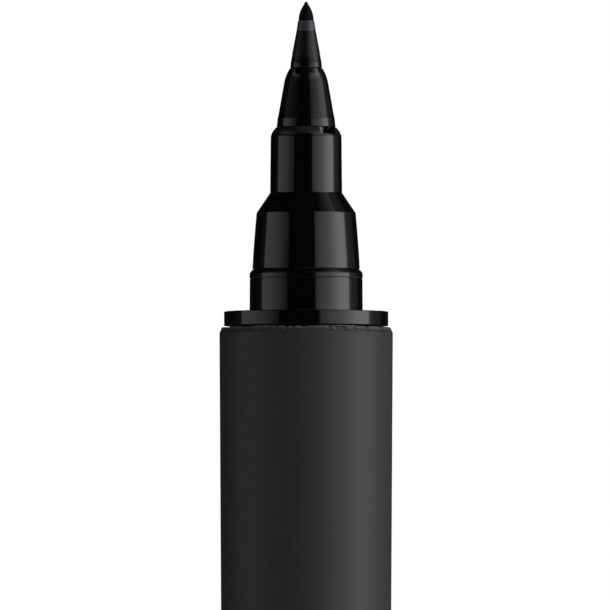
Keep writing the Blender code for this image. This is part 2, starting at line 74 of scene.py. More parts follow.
def roundedOutline(corners, ring=True, arcSteps=6, longest=0.6, edgeReach=0.12):
    # Each corner (radius, height, rounding) becomes an arc that touches both of its sides: it starts
    # rounding * tan(turn / 2) before the corner and ends as far after it. A guard point just past
    # each end keeps the flat next to it flat, and long sides are split so that no step passes longest.
    # Gives the points, and for each how near it is to an outer edge: 1 on it, 0 past edgeReach.
    corners = [np.array(corner, float) for corner in corners]
    last = len(corners) - 1
    points = []
    edges = []
    for number, corner in enumerate(corners):
        here = corner[:2]
        size = corner[2]
        if size == 0.0 or (not ring and number in (0, last)):
            points.append(here[None])
            continue
        back = corners[number - 1][:2] - here
        ahead = corners[(number + 1) % (last + 1)][:2] - here
        back /= np.linalg.norm(back)
        ahead /= np.linalg.norm(ahead)
        half = math.acos(np.clip(back @ ahead, -1.0, 1.0)) / 2
        reach = size / math.tan(half)
        middle = (back + ahead) / np.linalg.norm(back + ahead)
        centre = here + middle * size / math.sin(half)
        first = here + back * reach - centre
        end = here + ahead * reach - centre
        start = math.atan2(first[1], first[0])
        turn = (math.atan2(end[1], end[0]) - start + math.pi) % math.tau - math.pi
        angles = start + turn * np.linspace(0.0, 1.0, arcSteps + 1)
        arc = centre + size * np.column_stack([np.cos(angles), np.sin(angles)])
        guard = min(guardShare * size, guardReach)
        points += [(here + back * (reach + guard))[None], arc, (here + ahead * (reach + guard))[None]]
        if back[0] * ahead[1] - back[1] * ahead[0] > 0.0 and abs(turn) > sharpTurn:
            edges.append(arc[arcSteps // 2])
    points = np.concatenate(points)
    if ring:
        points = np.concatenate([points, points[:1]])
    steps = np.linalg.norm(np.diff(points, axis=0), axis=1)
    along = np.concatenate([[0.0], np.cumsum(steps)])
    parts = [np.linspace(a, b, max(int(math.ceil((b - a) / longest)), 1), endpoint=False)
             for a, b in zip(along, along[1:])]
    fine = np.concatenate(parts + [[] if ring else along[-1:]])
    outline = np.column_stack([np.interp(fine, along, points[:, axis]) for axis in (0, 1)])
    edge = np.zeros(len(outline))
    if edges:
        away = np.linalg.norm(outline[:, None] - np.array(edges)[None], axis=2).min(axis=1)
        edge = np.clip(1.0 - away / edgeReach, 0.0, 1.0)
    return outline, edge


def evenAngles(columns, extra=()):
    # angles round the pen's axis, evenly spaced, with any extra ones put in between them
    even = np.arange(columns) * math.tau / columns
    return np.unique(np.round(np.concatenate([even, np.mod(np.asarray(extra, float), math.tau)]), 9))


def gridFaces(rows, columns, rowsMeet=False, columnsMeet=True):
    # the squares between the points (row, column) of a grid that may meet itself either way
    j = np.arange(rows if rowsMeet else rows - 1)[:, None]
    i = np.arange(columns if columnsMeet else columns - 1)[None, :]
    below = (j + 1) % rows
    beside = (i + 1) % columns
    corners = [j * columns + i, below * columns + i, below * columns + beside, j * columns + beside]
    return np.stack(corners, axis=-1).reshape(-1, 4)


def closeEnds(points, rows, columns, ends):
    # the grid's squares, and a fan from its first and its last row to one end point each
    first = np.arange(columns)
    last = first + (rows - 1) * columns
    tip = np.full(columns, rows * columns)
    faces = gridFaces(rows, columns).tolist()
    faces += np.column_stack([tip, first, np.roll(first, -1)]).tolist()
    faces += np.column_stack([last, tip + 1, np.roll(last, -1)]).tolist()
    return np.concatenate([points, ends]), faces


def turnedSurface(outline, edge, ring, angles, shape=None):
    # The outline (radius, height) is carried round the axis: x = radius cos angle, y = radius sin angle.
    # shape(radius, height, angle, edge) may change radius and height over the whole grid.
    # A ring outline meets itself; any other starts and ends on the axis, in one vertex each.
    inner = outline if ring else outline[1:-1]
    edgeInner = edge if ring else edge[1:-1]
    radius, angle = np.meshgrid(inner[:, 0], angles, indexing="ij")
    height = np.repeat(inner[:, 1:2], len(angles), axis=1)
    near = np.repeat(edgeInner[:, None], len(angles), axis=1)
    if shape is not None:
        radius, height = shape(radius, height, angle, near)
    points = np.stack([radius * np.cos(angle), radius * np.sin(angle), height], axis=-1).reshape(-1, 3)
    if ring:
        return points, gridFaces(*radius.shape, rowsMeet=True).tolist(), near.reshape(-1)
    poles = [[0, 0, outline[0, 1]], [0, 0, outline[-1, 1]]]
    points, faces = closeEnds(points, *radius.shape, poles)
    return points, faces, np.concatenate([near.reshape(-1), [0.0, 0.0]])


def addPiece(name, surface, look, node):
    # A smooth mesh, in metres, that stands for one CAD node and carries its edge attribute.
    points, faces, near = surface
    mesh = bpy.data.meshes.new(name)
    mesh.from_pydata((points * mm).tolist(), [], faces)
    mesh.shade_smooth()
    mesh.attributes.new("edge", "FLOAT", "POINT").data.foreach_set("value", near.astype(np.float32))
    mesh.materials.append(look)
    piece = bpy.data.objects.new(name, mesh)
    bpy.context.scene.collection.objects.link(piece)
    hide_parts(node)
    return piece


def turnPiece(name, look, node, slot, corners, columns, body="pen", ring=True, shape=None, extra=(),
              **finish):
    # rounds the corners, carries the outline round the axis and sets the piece on its body, if it has one
    outline, edge = roundedOutline(corners, ring, **finish)
    surface = turnedSurface(outline, edge, ring, evenAngles(columns, extra), shape)
    piece = addPiece(name, surface, looks[look], node)
    if body:
        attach(piece, body)
    return piece


def ripple(angle, height, seed, waves, pitch=0.0):
    # A smooth random field from -1 to 1: the mean of cosines of whole multiples of the angle, each with a
    # random phase and, where pitch is given, its own slow change with height.
    random = np.random.default_rng(seed)
    total = np.zeros_like(angle)
    for wave in waves:
        phase = random.uniform(0.0, math.tau)
        slope = random.normal(0.0, pitch)
        total += random.uniform(0.5, 1.0) * np.cos(wave * angle + phase + slope * height)
    return total / len(waves)


def put(tree, kind, inputs=None, **settings):
    # adds a node; each input is a value or another node's socket
    node = tree.nodes.new("ShaderNode" + kind)
    for key, value in settings.items():
        setattr(node, key, value)
    for key, value in (inputs or {}).items():
        if isinstance(value, bpy.types.NodeSocket):
            tree.links.new(value, node.inputs[key])
        else:
            node.inputs[key].default_value = value
    return node


def calc(tree, operation, first, second=0.0, third=None):
    inputs = {0: first, 1: second}
    if third is not None:
        inputs[2] = third
    return put(tree, "Math", inputs, operation=operation).outputs[0]


def ease(tree, value, low, high, toLow=0.0, toHigh=1.0):
    # a smooth step from toLow to toHigh as value goes from low to high
    inputs = {"Value": value, "From Min": low, "From Max": high, "To Min": toLow, "To Max": toHigh}
    return put(tree, "MapRange", inputs, interpolation_type="SMOOTHSTEP").outputs["Result"]


def mixColour(tree, share, first, second):
    # each side is a socket or three plain numbers
    sides = [(*side, 1.0) if isinstance(side, tuple) else side for side in (first, second)]
    return put(tree, "Mix", {0: share, 6: sides[0], 7: sides[1]}, data_type="RGBA").outputs[2]


def cover(tree, colour, mask, amount, over):
    # another colour laid over this one: share = mask * amount
    return mixColour(tree, calc(tree, "MULTIPLY", mask, amount), colour, over)


def more(tree, value, mask, amount):
    # value + mask * amount
    return calc(tree, "MULTIPLY_ADD", mask, amount, value)


def newGroup(name, inputs, outputs):
    group = bpy.data.node_groups.new(name, "ShaderNodeTree")
    for label, value in inputs:
        socket = group.interface.new_socket(name=label, in_out="INPUT", socket_type="NodeSocketFloat")
        socket.default_value = value
    for label in outputs:
        group.interface.new_socket(name=label, in_out="OUTPUT", socket_type="NodeSocketFloat")
    taken = group.nodes.new("NodeGroupInput").outputs
    given = group.nodes.new("NodeGroupOutput").inputs
    return group, taken, given


def stretchedCoords(tree, across, along):
    # Object coordinates divided by a size in mm across the pen and another along it
    place = put(tree, "TexCoord").outputs["Object"]
    acrossScale = calc(tree, "DIVIDE", 1.0 / mm, across)
    alongScale = calc(tree, "DIVIDE", 1.0 / mm, along)
    scale = put(tree, "CombineXYZ", {"X": acrossScale, "Y": acrossScale, "Z": alongScale}).outputs[0]
    return put(tree, "VectorMath", {0: place, 1: scale}, operation="MULTIPLY").outputs[0]


def noise(tree, across, along, detail, roughness=0.5):
    where = stretchedCoords(tree, across, along)
    inputs = {"Vector": where, "Scale": 1.0, "Detail": detail, "Roughness": roughness}
    return put(tree, "TexNoise", inputs).outputs[0]


def makeGrainGroup():
    # fractal noise of one size across and another along, as a height about zero
    group, taken, given = newGroup("surfaceGrain", [("Across", 0.1), ("Along", 0.1)], ["Height"])
    value = noise(group, taken["Across"], taken["Along"], 3.0, 0.6)
    group.links.new(calc(group, "SUBTRACT", value, 0.5), given["Height"])
    return group


def makeMottleGroup():
    # a slow change in tone: a factor about 1 that strays by up to Spread
    group, taken, given = newGroup("toneMottle", [("Across", 3.0), ("Along", 3.0), ("Spread", 0.1)],
                                   ["Factor"])
    value = calc(group, "SUBTRACT", noise(group, taken["Across"], taken["Along"], 2.0), 0.5)
    swing = calc(group, "MULTIPLY", taken["Spread"], 2.0)
    group.links.new(more(group, 1.0, value, swing), given["Factor"])
    return group


def makeEdgeWearGroup():
    # where the edge attribute is high, noise of size Patch breaks it into worn patches; Amount widens them
    group, taken, given = newGroup("edgeWear", [("Amount", 0.5), ("Patch", 0.3)], ["Mask"])
    edge = put(group, "Attribute", attribute_name="edge").outputs["Fac"]
    broken = noise(group, taken["Patch"], taken["Patch"], 3.0, 0.65)
    level = more(group, broken, edge, 0.8)
    start = calc(group, "SUBTRACT", 1.55, taken["Amount"])
    group.links.new(ease(group, level, start, calc(group, "ADD", start, 0.1)), given["Mask"])
    return group


def makeHairlineGroup():
    # Fine scratches: the thin contour lines of a noise stretched to Across by Along, kept only where a
    # second, slower noise is high, so that they come and go. Amount sets how much of them stays.
    inputs = [("Across", 2.0), ("Along", 0.1), ("Amount", 0.5)]
    group, taken, given = newGroup("hairlines", inputs, ["Mask"])
    field = noise(group, taken["Across"], taken["Along"], 1.0)
    line = ease(group, calc(group, "ABSOLUTE", calc(group, "SUBTRACT", field, 0.5)), 0.0, 0.012, 1.0, 0.0)
    patch = noise(group, calc(group, "MULTIPLY", taken["Across"], 2.3),
                  calc(group, "MULTIPLY", taken["Along"], 9.0), 2.0)
    start = calc(group, "SUBTRACT", 0.75, calc(group, "MULTIPLY", taken["Amount"], 0.4))
    kept = ease(group, patch, start, calc(group, "ADD", start, 0.12))
    group.links.new(calc(group, "MULTIPLY", line, kept), given["Mask"])
    return group


def makeDustGroup():
    # Specks: the middles of a few cells, picked by each cell's random colour.
    group, taken, given = newGroup("dustSpecks", [("Size", 0.25), ("Amount", 0.05)], ["Mask"])
    where = stretchedCoords(group, taken["Size"], taken["Size"])
    cells = put(group, "TexVoronoi", {"Vector": where, "Scale": 1.0})
    dot = ease(group, cells.outputs["Distance"], 0.12, 0.22, 1.0, 0.0)
    red = put(group, "SeparateColor", {0: cells.outputs["Color"]}).outputs[0]
    few = calc(group, "GREATER_THAN", red, calc(group, "SUBTRACT", 1.0, taken["Amount"]))
    group.links.new(calc(group, "MULTIPLY", dot, few), given["Mask"])
    return group


grainGroup = makeGrainGroup()
mottleGroup = makeMottleGroup()
edgeWearGroup = makeEdgeWearGroup()
hairlineGroup = makeHairlineGroup()
dustGroup = makeDustGroup()


def use(tree, group, **values):
    # places a shared group with its own values and gives its first output
    node = tree.nodes.new("ShaderNodeGroup")
    node.node_tree = group
    for label, value in values.items():
        node.inputs[label].default_value = value
    return node.outputs[0]


def newMaterial(name, look):
    # a Principled material with its constant finish set on the shader's own sockets
    material = bpy.data.materials.new(name)
    material.use_nodes = True
    tree = material.node_tree
    shader = tree.nodes["Principled BSDF"]
    shader.inputs["Base Color"].default_value = (*look["colour"], 1.0)
    shader.inputs["Roughness"].default_value = look["roughness"]
    shader.inputs["Metallic"].default_value = look.get("metallic", 0.0)
    shader.inputs["IOR"].default_value = 1.5
    shader.inputs["Specular IOR Level"].default_value = look.get("specular", 0.5)
    material.diffuse_color = (*look["colour"], 1.0)
    return material, tree, shader


def scaled(tree, colour, factor):
    # the colour times a factor that varies over the surface
    value = put(tree, "CombineXYZ", {"X": factor, "Y": factor, "Z": factor}).outputs[0]
    return put(tree, "VectorMath", {0: value, 1: colour}, operation="MULTIPLY").outputs[0]


def bump(tree, shader, height, depth):
    # relief of height * depth, with depth in mm
    inputs = {"Height": height, "Distance": depth * mm}
    tree.links.new(put(tree, "Bump", inputs).outputs[0], shader.inputs["Normal"])


def heightAbove(tree):
    # how high a point is above the surface that the pen stands on, in metres
    place = put(tree, "TexCoord").outputs["Object"]
    return put(tree, "SeparateXYZ", {0: place}).outputs["Z"]


softTouch = {
    "colour": (0.054, 0.054, 0.055),
    "roughness": 0.42,
    "specular": 0.22,
    "clouds": {"Across": 2.2, "Along": 5.0, "Spread": 0.10},
    "wear": {"Amount": 0.70, "Patch": 0.22},
    "wornColour": (0.105, 0.105, 0.108),
    "wornRoughness": 0.36,
    "wornDepth": 1.5,    # how deep the lacquer is worn away, in grains
    "dust": {"Size": 0.45, "Amount": 0.03},
    "dustCover": 0.12,
    "dustColour": (0.22, 0.22, 0.21),
    "rubs": {"Across": 0.8, "Along": 2.5, "Amount": 0.25},
    "rubPolish": 0.08,
    "grain": {"Across": 0.07, "Along": 0.07},
    "grainDepth": 0.006,
}


def makeSoftTouch():
    # Matt lacquer: fine even grain, a cloudy tone, and a lighter, smoother plastic where edges are rubbed.
    look = softTouch
    material, tree, shader = newMaterial("softTouchLacquer", look)
    tone = use(tree, mottleGroup, **look["clouds"])
    worn = use(tree, edgeWearGroup, **look["wear"])
    dust = use(tree, dustGroup, **look["dust"])
    colour = mixColour(tree, worn, scaled(tree, look["colour"], tone), look["wornColour"])
    colour = cover(tree, colour, dust, look["dustCover"], look["dustColour"])
    tree.links.new(colour, shader.inputs["Base Color"])
    roughness = calc(tree, "MULTIPLY", tone, look["roughness"])
    roughness = more(tree, roughness, use(tree, hairlineGroup, **look["rubs"]), -look["rubPolish"])
    roughness = more(tree, roughness, worn, look["wornRoughness"] - look["roughness"])
    tree.links.new(roughness, shader.inputs["Roughness"])
    height = more(tree, use(tree, grainGroup, **look["grain"]), worn, -look["wornDepth"])
    bump(tree, shader, height, look["grainDepth"])
    return material


mouldedGloss = {
    "colour": (0.0028, 0.0028, 0.0032),
    "roughness": 0.085,
    "flow": {"Across": 1.6, "Along": 4.0, "Spread": 0.14},
    "scratches": 0.22,
    "rings": {"Across": 5.0, "Along": 0.09},      # rubbed round it by the cap
    "strokes": {"Across": 0.12, "Along": 4.0},    # and along it, with fewer of them
    "strokeShare": 0.6,
    "markColour": (0.022, 0.022, 0.025),
    "markCover": 0.25,
    "markRoughness": 0.10,
    "wear": {"Amount": 0.30, "Patch": 0.25},
    # rubbed edges painted paler: partly wear, partly a painted glint
    "wornColour": (0.022, 0.022, 0.024),
    "wornAndGlintCover": 0.6,
    "wornRoughness": 0.12,
    "dust": {"Size": 0.34, "Amount": 0.03},
    "dustCover": 0.06,
    "dustColour": (0.20, 0.20, 0.19),
    "peel": {"Across": 0.55, "Along": 0.8},
    "peelDepth": 0.0012,
}
satinAndPaintedLightParts = {
    # the height over the neck's top where satin starts, the stretch it comes in over, and what it changes:
    # more roughness, and a paler colour painted on to stand in for light that the lamps don't give
    "frontGloss": {"above": -0.46, "over": 0.06, "roughness": 0.26, "colour": (0.016, 0.016, 0.017)},
    "noseGloss": {"above": 0.66, "over": 0.06, "roughness": 0.03, "colour": (0.0035, 0.0035, 0.0039)},
}


def makeMouldedGloss(name, change=None):
    # Polished black moulding: a faint flow pattern, rings and strokes of wear, dust, and edges rubbed
    # paler, which also paints a glint on them. A part in the satin table is duller from some height up,
    # and a paler colour painted there stands in for light on it.
    look = dict(mouldedGloss, **(change or {}))
    material, tree, shader = newMaterial(name, look)
    flow = use(tree, mottleGroup, **look["flow"])
    rings = use(tree, hairlineGroup, Amount=look["scratches"], **look["rings"])
    strokes = use(tree, hairlineGroup, Amount=look["scratches"] * look["strokeShare"], **look["strokes"])
    marks = calc(tree, "MAXIMUM", rings, strokes)
    worn = use(tree, edgeWearGroup, **look["wear"])
    dust = use(tree, dustGroup, **look["dust"])
    # edges painted paler: partly wear, partly a painted glint along them
    colour = cover(tree, scaled(tree, look["colour"], flow), worn, look["wornAndGlintCover"], look["wornColour"])
    colour = cover(tree, colour, marks, look["markCover"], look["markColour"])
    colour = cover(tree, colour, dust, look["dustCover"], look["dustColour"])
    roughness = calc(tree, "MULTIPLY", flow, look["roughness"])
    if name in satinAndPaintedLightParts:
        satinAndPaintedLight = satinAndPaintedLightParts[name]
        low = (neckTop + satinAndPaintedLight["above"]) * mm
        share = ease(tree, heightAbove(tree), low, low + satinAndPaintedLight["over"] * mm)
        # painted light: a paler colour over the satin stretch, standing in for light on the mouth
        colour = mixColour(tree, share, colour, satinAndPaintedLight["colour"])
        roughness = more(tree, roughness, share, satinAndPaintedLight["roughness"])
    roughness = more(tree, roughness, marks, look["markRoughness"])
    roughness = more(tree, roughness, worn, look["wornRoughness"])
    tree.links.new(colour, shader.inputs["Base Color"])
    tree.links.new(roughness, shader.inputs["Roughness"])
    peel = use(tree, grainGroup, **look["peel"])
    bump(tree, shader, more(tree, peel, marks, -look["markCover"]), look["peelDepth"])
    return material


inkFibre = {
    "colour": (0.0085, 0.0086, 0.0060),
    "roughness": 0.75,
    "specular": 0.10,
    "wetColour": (0.0024, 0.0024, 0.0027),
    "wetRoughness": 0.42,
    "streaks": {"Across": 0.045, "Along": 0.6},
    "streakTone": 2.4,
    "streakDepth": 0.02,
    "damp": {"Across": 0.25, "Along": 0.5, "Spread": 0.9},
}


def makeInkFibre():
    # Bundled fibres full of ink: long streaks, an olive cast where they have dried, a damp sheen elsewhere.
    look = inkFibre
    material, tree, shader = newMaterial("inkFibre", look)
    streak = use(tree, grainGroup, **look["streaks"])
    damp = use(tree, mottleGroup, **look["damp"])
    light = scaled(tree, look["colour"], more(tree, 1.0, streak, look["streakTone"]))
    colour = mixColour(tree, ease(tree, damp, 0.75, 1.25), light, look["wetColour"])
    roughness = ease(tree, damp, 0.7, 1.3, look["roughness"], look["wetRoughness"])
    tree.links.new(colour, shader.inputs["Base Color"])
    tree.links.new(roughness, shader.inputs["Roughness"])
    bump(tree, shader, streak, look["streakDepth"])
    return material


sheathElastomer = {
    "colour": (0.0050, 0.0051, 0.0053),
    "specular": 0.46,
    "roughness": 0.38,
    "tone": {"Across": 0.5, "Along": 1.2, "Spread": 0.22},
    "footRoughness": 0.11,
    "footBlend": (0.25, 0.95),     # heights over the foot between which the polish turns to satin
    # painted highlight: the pale bluish colour of the band at the rim
    "rimHighlightColour": (0.062, 0.071, 0.096),
    "rimRoughness": 0.30,
    "rimHighlightBlend": (-0.69, -0.57),    # heights from the top between which the painted highlight, a pale bluish band at the rim, begins
    "uneven": {"Across": 0.5, "Along": 0.5},
    "unevenBy": 0.25,
    "grain": {"Across": 0.10, "Along": 0.22},
    "grainDepth": 0.0022,
}


def makeSheathElastomer(foot, top):
    # Satin elastomer, polished where the mould flares it at the foot. The last stretch up to the rim has
    # a pale, bluish highlight painted into its colour.
    look = sheathElastomer
    material, tree, shader = newMaterial("sheathElastomer", look)
    height = more(tree, heightAbove(tree), use(tree, grainGroup, **look["uneven"]), look["unevenBy"] * mm)
    # share of the painted rim highlight: 0 below the band, 1 up to the rim
    rim = ease(tree, height, *[(top + level) * mm for level in look["rimHighlightBlend"]])
    footEnds = [(foot + level) * mm for level in look["footBlend"]]
    tone = use(tree, mottleGroup, **look["tone"])
    base = scaled(tree, look["colour"], tone)
    paintedRimHighlight = scaled(tree, look["rimHighlightColour"], tone)
    tree.links.new(mixColour(tree, rim, base, paintedRimHighlight), shader.inputs["Base Color"])
    roughness = ease(tree, height, *footEnds, look["footRoughness"], look["roughness"])
    roughness = more(tree, roughness, rim, look["rimRoughness"] - look["roughness"])
    tree.links.new(calc(tree, "MULTIPLY", roughness, tone), shader.inputs["Roughness"])
    bump(tree, shader, use(tree, grainGroup, **look["grain"]), look["grainDepth"])
    return material


innerFinishes = {
    "acetal": {"colour": (0.80, 0.80, 0.77), "roughness": 0.34, "size": 0.9, "spread": 0.05,
               "grain": 0.10, "along": 0.10, "depth": 0.003, "stain": 0.10},
    "naturalPlastic": {"colour": (0.70, 0.72, 0.70), "roughness": 0.24, "size": 2.5, "spread": 0.06,
                       "grain": 0.6, "along": 3.0, "depth": 0.003, "stain": 0.22, "clear": 0.35},
    "relayFibre": {"colour": (0.72, 0.70, 0.66), "roughness": 0.88, "size": 0.6, "spread": 0.16,
                   "grain": 0.05, "along": 1.4, "depth": 0.03, "stain": 0.75},
    "sealRubber": {"colour": (0.085, 0.085, 0.092), "roughness": 0.58, "size": 0.5, "spread": 0.18,
                   "grain": 0.06, "along": 0.06, "depth": 0.006, "stain": 0.2},
}


inkStain = {
    "patches": {"Across": 2.0, "Along": 4.5, "Spread": 1.0},
    "colour": (0.012, 0.012, 0.016),
    "wear": {"Amount": 0.4, "Patch": 0.3},
    "wornTone": 0.06,
}


def makeInnerFinish(name):
    # An inside piece: its own tone and grain, with ink that has crept into it in patches.
    look = innerFinishes[name]
    material, tree, shader = newMaterial(name, look)
    tone = use(tree, mottleGroup, Across=look["size"], Along=look["size"] * 2.0, Spread=look["spread"])
    inked = ease(tree, use(tree, mottleGroup, **inkStain["patches"]), 1.05, 1.45)
    worn = use(tree, edgeWearGroup, **inkStain["wear"])
    colour = scaled(tree, look["colour"], more(tree, tone, worn, -inkStain["wornTone"]))
    colour = cover(tree, colour, inked, look["stain"], inkStain["colour"])
    tree.links.new(colour, shader.inputs["Base Color"])
    tree.links.new(calc(tree, "MULTIPLY", tone, look["roughness"]), shader.inputs["Roughness"])
    bump(tree, shader, use(tree, grainGroup, Across=look["grain"], Along=look["along"]), look["depth"])
    shader.inputs["Transmission Weight"].default_value = look.get("clear", 0.0)
    return material


steels = {
    "ballSteel": {"colour": (0.62, 0.62, 0.63), "roughness": 0.14, "metallic": 1.0,
                  "marks": {"Across": 0.5, "Along": 0.5}},
    "springSteel": {"colour": (0.58, 0.58, 0.60), "roughness": 0.24, "metallic": 1.0,
                    "marks": {"Across": 0.3, "Along": 0.06}},
}
tarnish = {"Across": 0.8, "Along": 0.8, "Spread": 0.18}


def makeSteel(name):
    # drawn or tumbled steel: fine marks in one direction, with a little tarnish
    look = steels[name]
    material, tree, shader = newMaterial(name, look)
    tone = use(tree, mottleGroup, **tarnish)
    marks = use(tree, hairlineGroup, Amount=0.7, **look["marks"])
    tree.links.new(scaled(tree, look["colour"], tone), shader.inputs["Base Color"])
    roughness = more(tree, calc(tree, "MULTIPLY", tone, look["roughness"]), marks, 0.15)
    tree.links.new(roughness, shader.inputs["Roughness"])
    bump(tree, shader, calc(tree, "SUBTRACT", use(tree, grainGroup, **look["marks"]), marks), 0.001)
    return material


seam = 0.012    # what two pressed-together pieces leave open, in mm
neckTop = spanOf("front_section")[1]
noseTop = spanOf("nose_cone")[1]
sheathTop = spanOf("nib_sheath")[1]
looks = {
    "softTouch": makeSoftTouch(),
    "gloss": makeMouldedGloss("mouldedGloss"),
    "feed": makeMouldedGloss("feedMoulding", {"roughness": 0.3, "scratches": 0.1}),
    "inkFibre": makeInkFibre(),
    "elastomer": makeSheathElastomer(noseTop, sheathTop),
    "frontGloss": makeMouldedGloss("frontGloss"),
    "noseGloss": makeMouldedGloss("noseGloss"),
}
looks.update({name: makeSteel(name) for name in steels})
looks.update({name: makeInnerFinish(name) for name in innerFinishes})
print("materials made:", len(looks))


barrelLook = {
    "bore": 4.0,
    "tailRadius": 4.753,
    "rimIn": 0.15,       # chamfer round the rim: how far in, and how far down
    "rimDown": 0.34,
    "rimRounding": 0.3,
    "rimDrop": 0.045,    # widens the shadow gap left under the flange
    "tailRounding": 0.24,
    "coarseWaves": [7, 11, 16, 23, 31, 38],
    "fineWaves": [45, 53, 61, 71, 83, 97],
    "chipDepth": 0.12,   # how far a knock bites down into the rim
    "chipIn": 0.072,     # and how far inwards
    "burr": 0.045,       # how far the coating stands proud between knocks
    "burrTurn": math.radians(-28.0),   # where round the rim the burr is largest
    "columns": 512,
}


def makeBarrel():
    # Tapered tube with a knocked rim. Near the rim's corner, radius = radius - chipIn * bite + burr * lump
    # and height = height - chipDepth * bite, where bite and lump are clipped sums of two ripples.
    bottom, top, radius = spanOf("barrel")
    look = barrelLook
    top -= look["rimDrop"]
    corners = [
        (look["bore"], top, 0.05),
        (radius - look["rimIn"], top, 0.05),
        (radius, top - look["rimDown"], look["rimRounding"]),
        (look["tailRadius"], bottom, look["tailRounding"]),
        (look["bore"], bottom, 0.05),
    ]

    def knocks(r, z, angle, near):
        rim = near * (z > top - 1.0) * (r > look["bore"] + 0.4)
        coarse = ripple(angle, z, 11, look["coarseWaves"])
        fine = ripple(angle, z, 12, look["fineWaves"], 0.5)
        bite = np.clip(coarse * 1.7 + fine * 1.2, 0.0, 1.0) * rim
        lump = np.clip(-coarse * 1.2 + fine * 0.9, 0.0, 1.0) * rim
        raised = 0.5 + 1.5 * np.clip(np.cos(angle - look["burrTurn"]), 0.0, 1.0) ** 6
        r = r - look["chipIn"] * bite + look["burr"] * raised * lump
        return r, z - look["chipDepth"] * bite

    turnPiece("softTouchBarrel", "softTouch", "barrel", "soft_touch_black", corners, look["columns"],
              shape=knocks, arcSteps=10, longest=1.6, edgeReach=0.34)


collarLook = {
    "bore": 3.05,
    "spigotRadius": 3.95,
    "spigotLength": 8.0,
    "spigotLead": (0.2, 0.4),    # in and up
    "flangeHeight": 0.88,
    "radius": 3.46,
    "beadChamfer": (0.15, 0.22),
    # radius, distance below the top, and rounding, of the fine groove that sets the bead off
    "beadGroove": [(3.46, 0.47, 0.02), (3.43, 0.51, 0.03), (3.445, 0.64, 0.15)],
    "columns": 256,
}


def makeSectionCollar():
    # spigot, flange, straight collar, and the round bead at the top that the cap's rib snaps over
    spigotBottom, top, flangeRadius = spanOf("section_collar")
    look = collarLook
    flangeBottom = spigotBottom + look["spigotLength"]
    flangeTop = flangeBottom + look["flangeHeight"]
    beadIn, beadDown = look["beadChamfer"]
    leadIn, leadUp = look["spigotLead"]
    corners = [
        (look["bore"], top, 0.04),
        (look["radius"] - beadIn, top, 0.03),
        (look["radius"], top - beadDown, 0.15),
        *[(radius, top - down, size) for radius, down, size in look["beadGroove"]],
        (look["radius"], flangeTop, 0.05),
        (flangeRadius, flangeTop, 0.06),
        (flangeRadius, flangeBottom, 0.04),
        (look["spigotRadius"], flangeBottom, 0.03),
        (look["spigotRadius"], spigotBottom + leadUp, 0.2),
        (look["spigotRadius"] - leadIn, spigotBottom, 0.1),
        (look["bore"], spigotBottom, 0.08),
    ]
    turnPiece("glossCollar", "gloss", "section_collar", "front_gloss", corners, look["columns"])


frontLook = {
    "feedBore": 2.6,
    "neckBore": 1.55,
    "boreStep": (0.7, 0.6),    # below and above the taper's top
    "shankRadius": 3.0,
    "shankLead": (0.15, 0.3),
    "seam": 0.035,             # a wider one, which shows as a dark line
    "taperFootRadius": 3.28,
    "taperTopRadius": 3.03,
    "taperPower": 1.25,
    "taperLength": 3.45,
    "shoulderRise": 1.23,
    "neckRadius": 2.2,
    "neckTopRadius": 2.165,
    "mouthRadius": 1.84,
    "mouthRound": (0.21, 0.25),    # out and down from the mouth to the middle of its rounding
    "mouthHeight": 0.52,
    "notchDepth": 0.42,
    "notchWidth": 1.82,
    "notchTurn": math.radians(-41.0),
    "notchFall": 0.002,            # the sill's slope inwards
    "columns": 256,
}


def makeFrontSection():
    # Tapered body, whose radius = foot radius - drop * share^taperPower, shoulder, neck and rounded mouth,
    # with a vent notch through one side of it: inside the notch's angles no height stays above its sill.
    bottom, top, _ = spanOf("front_section")
    look = frontLook
    taperBottom = spanOf("section_collar")[1] + look["seam"]
    taperTop = taperBottom + look["taperLength"]
    roundOut, roundDown = look["mouthRound"]
    stepBelow, stepAbove = look["boreStep"]
    leadIn, leadUp = look["shankLead"]
    drop = look["taperFootRadius"] - look["taperTopRadius"]
    taper = [(look["taperFootRadius"] - drop * share ** look["taperPower"],
              taperBottom + look["taperLength"] * share, 1.5) for share in np.linspace(0.96, 0.08, 7)[1:-1]]
    corners = [
        (look["neckBore"], top, 0.03),
        (look["mouthRadius"], top, 0.03),
        (look["mouthRadius"] + roundOut, top - roundDown, 0.35),
        (look["neckTopRadius"], top - look["mouthHeight"], 0.5),
        (look["neckRadius"], taperTop + look["shoulderRise"], 0.05),
        (look["taperTopRadius"], taperTop, 0.10),
        *taper,
        (look["taperFootRadius"], taperBottom, 0.05),
        (look["shankRadius"], taperBottom, 0.02),
        (look["shankRadius"], bottom + leadUp, 0.1),
        (look["shankRadius"] - leadIn, bottom, 0.06),
        (look["feedBore"], bottom, 0.05),
        (look["feedBore"], taperTop - stepBelow, 0.3),
        (look["neckBore"], taperTop + stepAbove, 0.3),
    ]
    halfTurn = look["notchWidth"] / 2 / look["neckRadius"]
    sill = top - look["notchDepth"]
    wall = 0.004    # the angle that a side of the notch takes up
    sides = [look["notchTurn"] + side * (halfTurn + gap) for side in (-1, 1) for gap in (-wall, 0.0)]

    def notch(r, z, angle, near):
        away = np.abs((angle - look["notchTurn"] + math.pi) % math.tau - math.pi)
        inside = (away < halfTurn - wall / 2) & (z > sill)
        return r, np.where(inside, sill + look["notchFall"] * (r - look["neckBore"]), z)

    turnPiece("glossFrontSection", "frontGloss", "front_section", "front_gloss", corners, look["columns"],
              shape=notch, extra=sides)


